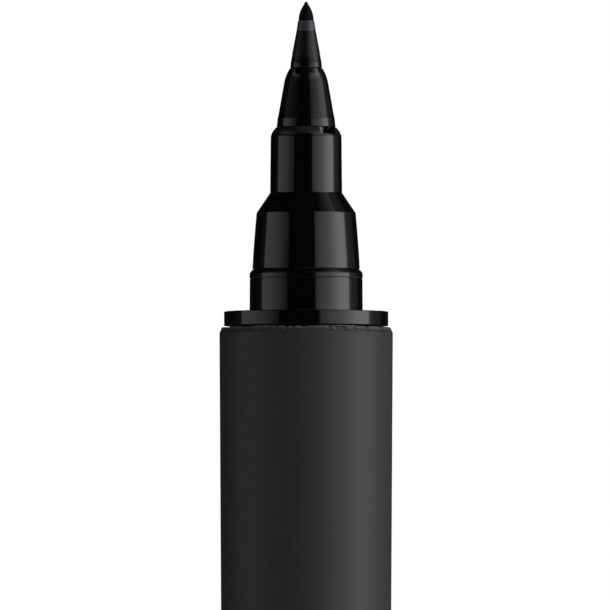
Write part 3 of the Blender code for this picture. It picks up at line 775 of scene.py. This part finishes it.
noseLook = {
    "footRadius": 1.80,
    "landTopRadius": 1.745,
    "landHeight": 0.62,
    "stepIn": 0.04,
    "stepHalf": 0.07,
    "mouthRadius": 1.0,
    # out and down from the mouth, and the rounding, of the two corners that turn it into the cone
    "mouthCurve": [(0.215, 0.40, 1.8), (0.325, 0.77, 1.2)],
    "nibGrip": 0.11,    # how much narrower the bore is than the sheath's foot
    "shankRadius": 1.5,
    "undercutRadius": 1.32,
    "undercutLength": 0.6,
    "shankBore": 1.15,
    "boreStep": 2.15,
    "columns": 224,
}


def makeNoseCone():
    # land at the foot, a small step, the cone, and a rounded mouth; a shank, undercut where air passes,
    # reaches down into the neck
    shankBottom, top, _ = spanOf("nose_cone")
    look = noseLook
    foot = neckTop + seam
    bore = spanOf("nib_sheath")[2] - look["nibGrip"]
    undercutBottom = foot - look["undercutLength"]
    landTop = foot + look["landHeight"]
    corners = [
        (bore, top, 0.02),
        (look["mouthRadius"], top, 0.04),
        *[(look["mouthRadius"] + out, top - down, size) for out, down, size in look["mouthCurve"]],
        (look["landTopRadius"] - look["stepIn"], landTop + look["stepHalf"], 0.2),
        (look["landTopRadius"], landTop - look["stepHalf"], 0.5),
        (look["footRadius"], foot, 0.05),
        (look["undercutRadius"], foot, 0.02),
        (look["undercutRadius"], undercutBottom + 0.1, 0.02),
        (look["shankRadius"], undercutBottom, 0.02),
        (look["shankRadius"], shankBottom, 0.08),
        (look["shankBore"], shankBottom, 0.03),
        (look["shankBore"], top - look["boreStep"], 0.05),
        (bore, top - look["boreStep"], 0.05),
    ]
    turnPiece("glossNoseCone", "noseGloss", "nose_cone", "front_gloss", corners, look["columns"])


nibLook = {
    "radius": 0.468,
    "stemRadius": 0.4,
    "power": 2.05,
    "tipRadius": 0.085,
    "ridges": [17, 23, 29, 37, 43],
    "looseFibres": [5, 7, 11],
    "fibreDepth": 0.010,
    "columns": 160,
}


def makeNibPoint():
    # Radius = full radius * (1 - share^power) up to a rounded tip. Its fibres make ridges lengthwise:
    # radius = radius + fibreDepth * (radius / full radius) * a sum of ripples.
    bottom, top, _ = spanOf("nib_point")
    look = nibLook
    stem = look["stemRadius"]
    point = [(look["radius"] * (1.0 - share ** look["power"]), sheathTop + (top - sheathTop) * share, 0.1)
             for share in np.linspace(0.86, 0.03, 9)]
    corners = [
        (0.0, top, 0.0),
        (look["tipRadius"], top - 0.03, 0.05),
        *point,
        (look["radius"] - 0.02, sheathTop + 0.01, 0.008),
        (stem, sheathTop - 0.15, 0.05),
        (stem, bottom + 0.08, 0.0),
        (stem - 0.08, bottom, 0.03),
        (0.0, bottom, 0.0),
    ]

    def fibres(r, z, angle, near):
        ridge = ripple(angle, z, 21, look["ridges"], 1.2)
        loose = ripple(angle, z, 22, look["looseFibres"], 2.5)
        share = np.clip(r / look["radius"], 0.0, 1.0)
        return r + look["fibreDepth"] * share * (1.3 * ridge + 0.8 * loose - 0.6), z

    return turnPiece("fibreNib", "inkFibre", "nib_point", "nib_fibre", corners, look["columns"],
                     body=None, ring=False, shape=fibres, longest=0.12)


sheathLook = {
    "bore": 0.46,
    "rimRadius": 0.495,
    "bandHeight": 0.61,
    "bandFlare": 0.09,
    # in from the foot's radius, up from the foot, and the rounding, down the flared foot
    "footCurve": [(0.135, 0.98, 2.0), (0.098, 0.72, 2.4), (0.028, 0.34, 2.4), (0.0, 0.04, 0.10),
                  (0.03, 0.0, 0.02)],
    "stemRadius": 0.81,
    "columns": 192,
}


def makeNibSheath():
    # slender cone round the nib, flared at its foot where it meets the nose, with a rounded rim
    bottom, top, footRadius = spanOf("nib_sheath")
    foot = noseTop + seam
    look = sheathLook
    corners = [
        (look["bore"], top, 0.008),
        (look["rimRadius"], top, 0.014),
        (look["rimRadius"] + look["bandFlare"], top - look["bandHeight"], 1.0),
        *[(footRadius - inwards, foot + up, size) for inwards, up, size in look["footCurve"]],
        (look["stemRadius"], foot, 0.02),
        (look["stemRadius"], bottom, 0.06),
        (look["bore"], bottom, 0.06),
    ]
    return turnPiece("nibSheath", "elastomer", "nib_sheath", "nib_elastomer", corners, look["columns"],
                     body=None, longest=0.12)


def makeNib():
    # both have their placement baked into their meshes and are set on no body
    for piece in (makeNibPoint(), makeNibSheath()):
        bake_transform(piece)


tailLook = {
    "insertRadius": 3.95,
    "insertBore": 3.2,
    "insertLead": (0.15, 0.4),
    "cupBore": 2.6,
    "cupFloor": 1.2,
    "cupFlare": (0.75, 1.55),    # over the shelf, from the cup's bore to the insert's
    "spigotRadius": 3.42,
    "spigotLead": 0.3,
    "beadRadius": 3.46,
    "beadAbove": 2.9,
    "beadHalf": 0.3,
    "columns": 192,
}


def makeTailPlug():
    # cup that shuts the barrel's tail; the spigot below it carries the bead that the posted cap snaps over
    bottom, top, _ = spanOf("tail_plug")
    look = tailLook
    shelf = spanOf("barrel")[0] + 0.05
    bead = bottom + look["beadAbove"]
    floor = bottom + look["cupFloor"]
    leadIn, leadDown = look["insertLead"]
    flareBottom, flareTop = look["cupFlare"]
    corners = [
        (0.0, floor, 0.0),
        (look["cupBore"], floor, 0.3),
        (look["cupBore"], shelf + flareBottom, 0.2),
        (look["insertBore"], shelf + flareTop, 0.2),
        (look["insertBore"], top, 0.05),
        (look["insertRadius"] - leadIn, top, 0.05),
        (look["insertRadius"], top - leadDown, 0.2),
        (look["insertRadius"], shelf, 0.05),
        (look["spigotRadius"], shelf, 0.04),
        (look["spigotRadius"], bead + look["beadHalf"], 0.2),
        (look["beadRadius"], bead, 0.3),
        (look["spigotRadius"], bead - look["beadHalf"], 0.2),
        (look["spigotRadius"], bottom + look["spigotLead"], 0.15),
        (look["spigotRadius"] - look["spigotLead"], bottom, 0.15),
        (0.0, bottom, 0.0),
    ]
    turnPiece("glossTailPlug", "gloss", "tail_plug", "front_gloss", corners, look["columns"], ring=False)


capLook = {
    "bore": 4.55,
    "rimRounding": 0.22,
    "seamRounding": 0.07,
    "footRounding": 0.7,
    "crownThickness": 1.4,
    "insertRadius": 4.5,
    "insertLead": 0.3,
    "socketRadius": 1.45,
    "socketDepth": 4.0,
    "dentWaves": [7, 13, 19, 37, 53],
    "dent": 0.03,
    "columns": 288,
}


def makeCapShell():
    # straight tube, its rim a little knocked: radius and height both lose dent * bite
    bottom, top, radius = spanOf("cap_shell")
    look = capLook
    corners = [(look["bore"], top, 0.05), (radius, top, look["rimRounding"]),
               (radius, bottom, look["seamRounding"]), (look["bore"], bottom, 0.05)]

    def knocks(r, z, angle, near):
        rim = near * (z > top - 1.0) * (r > look["bore"] + 0.3)
        bite = np.clip(ripple(angle, z, 31, look["dentWaves"], 1.0) * 1.8 - 0.5, 0.0, 1.0) * rim
        return r - look["dent"] * bite, z - look["dent"] * bite

    turnPiece("softTouchCapShell", "softTouch", "cap_shell", "soft_touch_black", corners, look["columns"],
              body="cap", shape=knocks, arcSteps=8)


def makeCapCrown():
    # flat end with a large rounded foot; the plug inside it has a socket for the inner cap's stem
    bottom, top, radius = spanOf("cap_crown")
    look = capLook
    corners = [
        (0.0, top - look["socketDepth"], 0.0),
        (look["socketRadius"], top - look["socketDepth"], 0.1),
        (look["socketRadius"], top, 0.1),
        (look["insertRadius"] - look["insertLead"], top, 0.1),
        (look["insertRadius"], top - look["insertLead"], 0.1),
        (look["insertRadius"], look["crownThickness"], 0.03),
        (radius, look["crownThickness"], look["seamRounding"]),
        (radius, bottom, look["footRounding"]),
        (0.0, bottom, 0.0),
    ]
    turnPiece("softTouchCrown", "softTouch", "cap_crown", "soft_touch_black", corners, look["columns"],
              body="cap", ring=False, arcSteps=10)


linerLook = {
    "mouthBore": 3.55,
    "mouthLead": (0.2, 0.3),
    "ribBore": 3.5,
    "ribBelow": 2.85,
    "ribHalf": 0.2,
    "lipBore": 3.3,
    "lipHeight": 0.6,
    "lipClearance": 0.1,
    "bore": 3.75,
    "columns": 192,
}


def makeCapLiner():
    # sleeve with a flared mouth, the snap rib, and the lip that stops the inner cap
    bottom, top, radius = spanOf("cap_liner")
    look = linerLook
    rib = top - look["ribBelow"]
    lipTop = spanOf("inner_cap")[1] + look["lipClearance"]
    leadOut, leadDown = look["mouthLead"]
    corners = [
        (look["mouthBore"] + leadOut, top, 0.03),
        (radius, top, 0.05),
        (radius, bottom, 0.1),
        (look["bore"], bottom, 0.1),
        (look["bore"], lipTop - look["lipHeight"], 0.05),
        (look["lipBore"], lipTop - look["lipHeight"], 0.05),
        (look["lipBore"], lipTop, 0.05),
        (look["mouthBore"], lipTop + 0.2, 0.05),
        (look["mouthBore"], rib - look["ribHalf"], 0.1),
        (look["ribBore"], rib, 0.15),
        (look["mouthBore"], rib + look["ribHalf"], 0.1),
        (look["mouthBore"], top - leadDown, 0.1),
    ]
    turnPiece("capLiner", "feed", "cap_liner", "feed_plastic", corners, look["columns"], body="cap")


innerCapLook = {
    "depth": 13.5,
    "bore": 2.5,
    "seatRadius": 2.95,
    "seatDepth": 0.85,
    "sealBore": 2.55,
    "mouthRadius": 3.2,
    "flangeBelow": 0.6,
    "flangeHeight": 1.0,
    "wallRadius": 3.1,
    "endWall": 1.0,
    "stemRadius": 1.2,
    "stemLead": 0.3,
    "columns": 176,
}


def makeInnerCap():
    # sliding cup with a flange that the liner's lip catches, a seat for the seal, and the spring's stem
    bottom, top, flangeRadius = spanOf("inner_cap")
    look = innerCapLook
    floorTop = top - look["depth"]
    back = floorTop - look["endWall"]
    seat = top - look["seatDepth"]
    flangeTop = top - look["flangeBelow"]
    flangeBottom = flangeTop - look["flangeHeight"]
    corners = [
        (0.0, floorTop, 0.0),
        (look["bore"], floorTop, 0.5),
        (look["bore"], seat, 0.05),
        (look["seatRadius"], seat, 0.04),
        (look["seatRadius"], top, 0.05),
        (look["mouthRadius"], top, 0.06),
        (look["mouthRadius"], flangeTop, 0.05),
        (flangeRadius, flangeTop, 0.08),
        (flangeRadius, flangeBottom, 0.08),
        (look["wallRadius"], flangeBottom, 0.08),
        (look["wallRadius"], back, 0.25),
        (look["stemRadius"], back, 0.1),
        (look["stemRadius"], bottom + look["stemLead"], 0.1),
        (look["stemRadius"] - look["stemLead"], bottom, 0.1),
        (0.0, bottom, 0.0),
    ]
    turnPiece("innerCapCup", "acetal", "inner_cap", "white_plastic", corners, look["columns"],
              body="inner_cap", ring=False)

    sealBottom, sealTop, sealRadius = spanOf("inner_cap_seal")
    lip = look["sealBore"]
    corners = [(sealRadius, sealTop - 0.05, 0.03), (sealRadius, sealBottom, 0.05), (lip, sealBottom, 0.05),
               (lip + 0.07, sealTop - 0.2, 0.05), (sealRadius - 0.15, sealTop, 0.04)]
    turnPiece("innerCapSeal", "sealRubber", "inner_cap_seal", "seal_rubber", corners, look["columns"],
              body="inner_cap", longest=0.1)


springLook = {
    "coilRadius": 1.9,
    "wire": 0.2,          # the wire's radius
    "turns": 7.0,
    "closedPitch": 2.2,   # rise of the first and the last turn, in wire radii
    "pointsPerTurn": 48,
    "sides": 16,
    "travel": 1.5,
}


def makeSpring():
    # A round wire along a helix: it rises slowly over the first and last turns, so both ends sit flat,
    # and evenly between. Each ring of the tube lies square to the path: point = path + wire *
    # (cos side * outward + sin side * upward).
    look = springLook
    low, high, _ = spanOf("cap_spring")
    wire = look["wire"]
    turn = np.linspace(0.0, look["turns"], int(look["turns"] * look["pointsPerTurn"]) + 1)
    closedRise = look["closedPitch"] * wire
    openRise = (high - low - 2 * wire - 2 * closedRise) / (look["turns"] - 2)
    opened = np.clip(turn - 1.0, 0.0, look["turns"] - 2)
    height = low + wire + openRise * opened + closedRise * (turn - opened)
    height = np.clip(height, low + wire, high - wire)
    angle = math.tau * turn
    outward = np.column_stack([np.cos(angle), np.sin(angle), np.zeros_like(angle)])
    path = look["coilRadius"] * outward
    path[:, 2] = height
    forward = np.gradient(path, axis=0)
    forward /= np.linalg.norm(forward, axis=1, keepdims=True)
    upward = np.cross(outward, forward)
    upward /= np.linalg.norm(upward, axis=1, keepdims=True)
    around = np.arange(look["sides"])[None, :, None] * math.tau / look["sides"]
    rings = path[:, None] + wire * (np.cos(around) * outward[:, None] + np.sin(around) * upward[:, None])
    points, faces = closeEnds(rings.reshape(-1, 3), len(path), look["sides"], path[[0, -1]])
    surface = points, faces, np.zeros(len(points))
    piece = addPiece("capSpring", surface, looks["springSteel"], "cap_spring")
    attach(piece, "cap")
    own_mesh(piece)


tankLook = {
    "bore": 3.25,
    "dish": (2.6, 0.5),        # the stopper's hollow top, radius and depth
    "hollow": (2.3, 2.1),      # its open back, radius at the end and at the floor
    "floor": 2.0,
    "lead": (0.15, 0.3),
    "flangeGap": 0.05,
    "columns": 144,
}


def makeTank():
    # plain tube, and the flanged stopper in its tail, dished for the ball
    look = tankLook
    bottom, top, radius = spanOf("ink_tank")
    corners = [(look["bore"], top, 0.08), (radius, top, 0.1), (radius, bottom, 0.1),
               (look["bore"], bottom, 0.08)]
    turnPiece("inkTank", "naturalPlastic", "ink_tank", "natural_plastic", corners, look["columns"],
              arcSteps=4, longest=2.0)

    stopperBottom, stopperTop, flangeRadius = spanOf("tank_stopper")
    plug = look["bore"] - 0.05
    shelf = bottom - look["flangeGap"]
    floor = stopperTop - look["floor"]
    dishRadius, dishDepth = look["dish"]
    hollowEnd, hollowFloor = look["hollow"]
    leadIn, leadDown = look["lead"]
    corners = [
        (0.0, stopperTop - dishDepth, 0.0),
        (dishRadius, stopperTop, 0.1),
        (plug - leadIn, stopperTop, 0.05),
        (plug, stopperTop - leadDown, 0.1),
        (plug, shelf, 0.04),
        (flangeRadius, shelf, 0.08),
        (flangeRadius, stopperBottom, 0.1),
        (hollowEnd, stopperBottom, 0.1),
        (hollowFloor, floor, 0.2),
        (0.0, floor, 0.0),
    ]
    turnPiece("tankStopper", "naturalPlastic", "tank_stopper", "natural_plastic", corners, look["columns"],
              ring=False, arcSteps=4)


ballLook = {
    "rows": 73,
    "columns": 144,
}


def makeBall():
    # a half circle carried round: radius = size cos tilt, height = middle + size sin tilt
    look = ballLook
    low, high, _ = spanOf("agitator_ball")
    tilt = np.linspace(math.pi / 2, -math.pi / 2, look["rows"])
    outline = np.column_stack([np.cos(tilt), np.sin(tilt)]) * (high - low) / 2 + [0.0, (low + high) / 2]
    outline[[0, -1], 0] = 0.0
    surface = turnedSurface(outline, np.zeros(len(outline)), False, evenAngles(look["columns"]))
    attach(addPiece("agitatorBall", surface, looks["ballSteel"], "agitator_ball"), "ball")


feedLook = {
    "coreBore": 0.85,
    "coreTaper": 0.3,
    "stemRadius": 1.45,
    "topStemRadius": 1.25,
    "topStemLength": 1.6,
    "finCount": 11,
    "finRadius": 2.52,
    "finGap": 0.7,           # from the last fin's foot to the disc
    "slotHalfWidth": 0.25,
    "slotFloor": 1.62,
    "grooveBelow": 1.7,      # from the tank's top to the middle of the seal's groove
    "grooveHalf": 0.45,
    "grooveRadius": 2.5,
    "plugEnd": (0.2, 1.4),   # in, and below the groove
    "tailRadius": 1.3,
    "gap": 0.05,             # left round each piece and what it sits in
    "sealSides": 32,
    "holderFlange": 0.45,
    "holderLead": (0.1, 0.2),
    "columns": 144,
}


def makeRelayCore():
    # plain rod with a tapered end
    bottom, top, radius = spanOf("relay_core")
    taper = feedLook["coreTaper"]
    corners = [(0.0, top, 0.0), (radius, top, 0.06), (radius, bottom + taper, 0.1),
               (radius - taper, bottom, 0.06), (0.0, bottom, 0.0)]
    turnPiece("relayCore", "relayFibre", "relay_core", "relay_fibre", corners, feedLook["columns"],
              ring=False, arcSteps=4, longest=1.0)


def makeCollector():
    # Finned spindle with a disc and a plug at its foot. Down one side runs the ink's slot, whose floor no
    # radius passes: radius = min(radius, slotFloor) inside the slot's angles.
    look = feedLook
    bottom, top, discRadius = spanOf("collector")
    discBottom = spanOf("ink_tank")[1] + look["gap"]
    discTop = spanOf("section_collar")[0] - look["gap"]
    finsTop = top - look["topStemLength"]
    finsBottom = discTop + look["finGap"]
    pitch = (finsTop - finsBottom) / look["finCount"]
    groove = discBottom - look["gap"] - look["grooveBelow"]
    grooveTop = groove + look["grooveHalf"]
    grooveBottom = groove - look["grooveHalf"]
    plug = tankLook["bore"] - look["gap"]
    endIn, endBelow = look["plugEnd"]
    stem = look["stemRadius"]
    tops = [finsTop - fin * pitch for fin in range(look["finCount"])]
    fins = [corner for finTop in tops for corner in (
        (look["finRadius"], finTop, 0.04), (look["finRadius"], finTop - pitch / 2, 0.04),
        (stem, finTop - pitch / 2, 0.04), (stem, finTop - pitch, 0.04))]
    corners = [
        (look["coreBore"], top, 0.03),
        (look["topStemRadius"], top, 0.05),
        (look["topStemRadius"], finsTop, 0.03),
        *fins[:-1],
        (stem, discTop, 0.04),
        (discRadius, discTop, 0.05),
        (discRadius, discBottom, 0.05),
        (plug, discBottom, 0.03),
        (plug, grooveTop, 0.04),
        (look["grooveRadius"], grooveTop, 0.05),
        (look["grooveRadius"], grooveBottom, 0.05),
        (plug, grooveBottom, 0.04),
        (plug - endIn, groove - endBelow, 0.1),
        (look["tailRadius"], groove - endBelow, 0.1),
        (look["tailRadius"], bottom, 0.08),
        (look["coreBore"], bottom, 0.05),
    ]
    halfTurn = math.asin(look["slotHalfWidth"] / look["finRadius"])
    wall = 0.01    # the angle that a side of the slot takes up
    sides = [side * (halfTurn + gap) for side in (-1, 1) for gap in (-wall, 0.0)]

    def slot(r, z, angle, near):
        away = np.abs((angle + math.pi) % math.tau - math.pi)
        cut = (away < halfTurn - wall / 2) & (z < finsTop + 0.05) & (z > finsBottom)
        return np.where(cut, np.minimum(r, look["slotFloor"]), r), z

    turnPiece("feedCollector", "feed", "collector", "feed_plastic", corners, look["columns"],
              shape=slot, extra=sides, arcSteps=4)


def makeCollectorSeal():
    # ring of round section: radius = outer - size + size cos tilt, height = middle + size sin tilt
    low, high, outer = spanOf("collector_seal")
    look = feedLook
    size = (high - low) / 2
    tilt = -np.arange(look["sealSides"]) * math.tau / look["sealSides"]
    outline = np.column_stack([outer - size + size * np.cos(tilt), (low + high) / 2 + size * np.sin(tilt)])
    surface = turnedSurface(outline, np.zeros(len(outline)), True, evenAngles(look["columns"]))
    piece = addPiece("collectorSeal", surface, looks["sealRubber"], "collector_seal")
    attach(piece, "pen")


def makeNibHolder():
    # flanged bush
    bottom, top, flange = spanOf("nib_holder")
    look = feedLook
    bore = nibLook["stemRadius"] + look["gap"]
    bush = noseLook["shankBore"] - look["gap"]
    leadIn, leadDown = look["holderLead"]
    shelf = bottom + look["holderFlange"]
    corners = [(bore, top, 0.03), (bush - leadIn, top, 0.03), (bush, top - leadDown, 0.05),
               (bush, shelf, 0.04), (flange, shelf, 0.04), (flange, bottom, 0.04), (bore, bottom, 0.03)]
    turnPiece("nibHolder", "acetal", "nib_holder", "white_plastic", corners, look["columns"], arcSteps=4)


makeBarrel()
makeSectionCollar()
makeFrontSection()
makeNoseCone()
makeNib()
print("front made")
makeTailPlug()
makeCapShell()
makeCapCrown()
makeCapLiner()
makeInnerCap()
makeSpring()
print("cap made")
makeTank()
makeBall()
makeRelayCore()
makeCollector()
makeCollectorSeal()
makeNibHolder()
print("inside made")


studio = {
    "radius": 0.45,
    "aimHeight": 0.13463,
    # elevation in degrees seen from the pen's front, and the panel's share of its brightness there
    "rightRise": ([-16.0, 12.5, 16.0, 30.0, 36.0, 44.0, 53.0, 60.0, 66.0],
                  [1.06, 1.06, 0.52, 0.52, 0.85, 0.85, 0.14, 0.07, 0.0]),
    "leftRise": ([-16.0, 12.5, 16.0, 32.0, 35.0, 41.0, 43.5], [1.0, 1.0, 0.15, 0.15, 0.8, 0.8, 0.0]),
    # azimuth in degrees to the right of the camera, and the panel's brightness there
    "rightAngles": [18.0, 21.0, 36.0, 48.0, 60.0, 74.0, 86.0, 97.0, 101.0, 112.0, 125.0, 135.0],
    "rightLevels": [0.0, 0.5, 0.98, 1.25, 1.8, 2.6, 2.6, 2.2, 0.4, 0.16, 0.1, 0.0],
    "leftAngles": [-130.0, -104.0, -101.0, -85.0, -75.0, -65.0, -57.0, -48.0, -40.0, -37.0],
    "leftLevels": [0.0, 0.06, 0.68, 0.74, 0.7, 0.6, 0.46, 0.3, 0.14, 0.0],
    "overheadLevel": 0.24,
    "overheadHeight": 0.9,
    "overheadRadius": 0.2,
    "fillLevel": 0.008,
    "floorHalf": 1.6,
    "floorGlow": 0.70,
    "floorColour": (0.86, 0.86, 0.85),
    "floorSeen": (0.27, 0.27, 0.267),    # its colour to the camera, which the glow adds to
}


def makeGlow():
    # paper that shines with the colour stored at each of its points
    material = bpy.data.materials.new("softboxGlow")
    material.use_nodes = True
    tree = material.node_tree
    tree.nodes.remove(tree.nodes["Principled BSDF"])
    colour = put(tree, "Attribute", attribute_name="glow").outputs["Color"]
    shine = put(tree, "Emission", {"Color": colour, "Strength": 1.0})
    tree.links.new(shine.outputs[0], tree.nodes["Material Output"].inputs["Surface"])
    return material


def addStageGrid(name, points, material):
    faces = gridFaces(*points.shape[:2], columnsMeet=False)
    mesh = bpy.data.meshes.new(name)
    mesh.from_pydata(points.reshape(-1, 3).tolist(), [], faces.tolist())
    mesh.materials.append(material)
    thing = bpy.data.objects.new(name, mesh)
    bpy.context.scene.collection.objects.link(thing)
    return thing


def addPanel(name, points, colour, glow):
    # a grid that shines with its own colour at each point, and that the camera doesn't see
    panel = addStageGrid(name, points, glow)
    layer = panel.data.attributes.new("glow", "FLOAT_COLOR", "POINT")
    layer.data.foreach_set("color", colour.reshape(-1).astype(np.float32))
    panel.visible_camera = False


def makeSoftbox(side, warmth, glow):
    # A curved panel on a circle round the pen: point = (R sin a, -R cos a, h). Its brightness follows
    # levels over the angles times its share over the elevation; warmth tints its inner and outer end.
    angles = studio[side + "Angles"]
    levels = studio[side + "Levels"]
    rise, share = studio[side + "Rise"]
    a, elevation = np.meshgrid(np.linspace(angles[0], angles[-1], 121),
                               np.linspace(rise[0], rise[-1], 101), indexing="ij")
    turn = np.radians(a)
    height = studio["aimHeight"] + studio["radius"] * np.tan(np.radians(elevation))
    points = np.stack([studio["radius"] * np.sin(turn), -studio["radius"] * np.cos(turn), height], axis=-1)
    level = np.interp(a, angles, levels)
    level *= np.interp(elevation, rise, share)
    outer = np.clip((np.abs(a) - 20.0) / 80.0, 0.0, 1.0)[..., None]
    tint = np.array(warmth[0]) * (1.0 - outer) + np.array(warmth[1]) * outer
    colour = np.concatenate([tint * level[..., None], np.ones(a.shape + (1,))], axis=-1)
    addPanel(side + "Softbox", points, colour, glow)


def makeOverhead(glow):
    # a level disc above the pen: point = (r cos a, r sin a, h)
    share, turn = np.meshgrid(np.linspace(0.02, 1.0, 9), np.linspace(0.0, math.tau, 65), indexing="ij")
    radius = share * studio["overheadRadius"]
    points = np.stack([radius * np.cos(turn), radius * np.sin(turn),
                       np.full(share.shape, studio["overheadHeight"])], axis=-1)
    colour = np.ones(share.shape + (4,))
    colour[..., :3] *= studio["overheadLevel"]
    addPanel("overheadSoftbox", points, colour, glow)


def makeFloor():
    # a pale sheet under the pen, slightly uneven; for the camera it glows a little, which evens it out
    reach = np.linspace(-studio["floorHalf"], studio["floorHalf"], 9)
    x, y = np.meshgrid(reach, reach, indexing="ij")
    points = np.stack([x, y, np.zeros_like(x)], axis=-1)
    material = bpy.data.materials.new("paleFloor")
    material.use_nodes = True
    tree = material.node_tree
    shader = tree.nodes["Principled BSDF"]
    shader.inputs["Roughness"].default_value = 0.8
    tone = use(tree, mottleGroup, Across=180.0, Along=180.0, Spread=0.02)
    seen = put(tree, "LightPath").outputs["Is Camera Ray"]
    colour = mixColour(tree, seen, studio["floorColour"], studio["floorSeen"])
    tree.links.new(scaled(tree, colour, tone), shader.inputs["Base Color"])
    tree.links.new(calc(tree, "MULTIPLY", seen, studio["floorGlow"]), shader.inputs["Emission Strength"])
    shader.inputs["Emission Color"].default_value = (1.0, 1.0, 1.0, 1.0)
    addStageGrid("paleFloor", points, material)


def makeWorld():
    # white behind the pen for the camera, a faint grey fill for everything else
    world = bpy.data.worlds.new("studioWorld")
    bpy.context.scene.world = world
    world.use_nodes = True
    tree = world.node_tree
    backdrop = tree.nodes["Background"]
    seen = put(tree, "LightPath").outputs["Is Camera Ray"]
    fill = (studio["fillLevel"],) * 3
    tree.links.new(mixColour(tree, seen, fill, (1.0, 1.0, 1.0)), backdrop.inputs["Color"])


cameraView = {
    "lens": 1200.0,
    "frameWidth": 0.03729,    # what the frame takes in at the pen's axis
    "elevation": -1.5,
    "aimSideways": -0.00007,
}


def makeCamera():
    # a very long lens, a little below the level of what it looks at
    data = bpy.data.cameras.new("studyCamera")
    data.lens = cameraView["lens"]
    distance = cameraView["frameWidth"] * data.lens / data.sensor_width
    tilt = math.radians(cameraView["elevation"])
    camera = bpy.data.objects.new("studyCamera", data)
    bpy.context.scene.collection.objects.link(camera)
    camera.location = (cameraView["aimSideways"], -distance * math.cos(tilt),
                       studio["aimHeight"] + distance * math.sin(tilt))
    camera.rotation_euler = (math.pi / 2 - tilt, 0.0, 0.0)
    data.clip_start = 0.05
    data.clip_end = 20.0
    bpy.context.scene.camera = camera


glowPaper = makeGlow()
makeSoftbox("right", ((0.95, 0.98, 1.06), (1.02, 1.0, 0.97)), glowPaper)
makeSoftbox("left", ((0.97, 0.99, 1.03), (1.01, 1.0, 0.98)), glowPaper)
makeOverhead(glowPaper)
makeFloor()
makeWorld()
makeCamera()
bpy.context.scene.view_settings.view_transform = "Standard"
print("studio made")
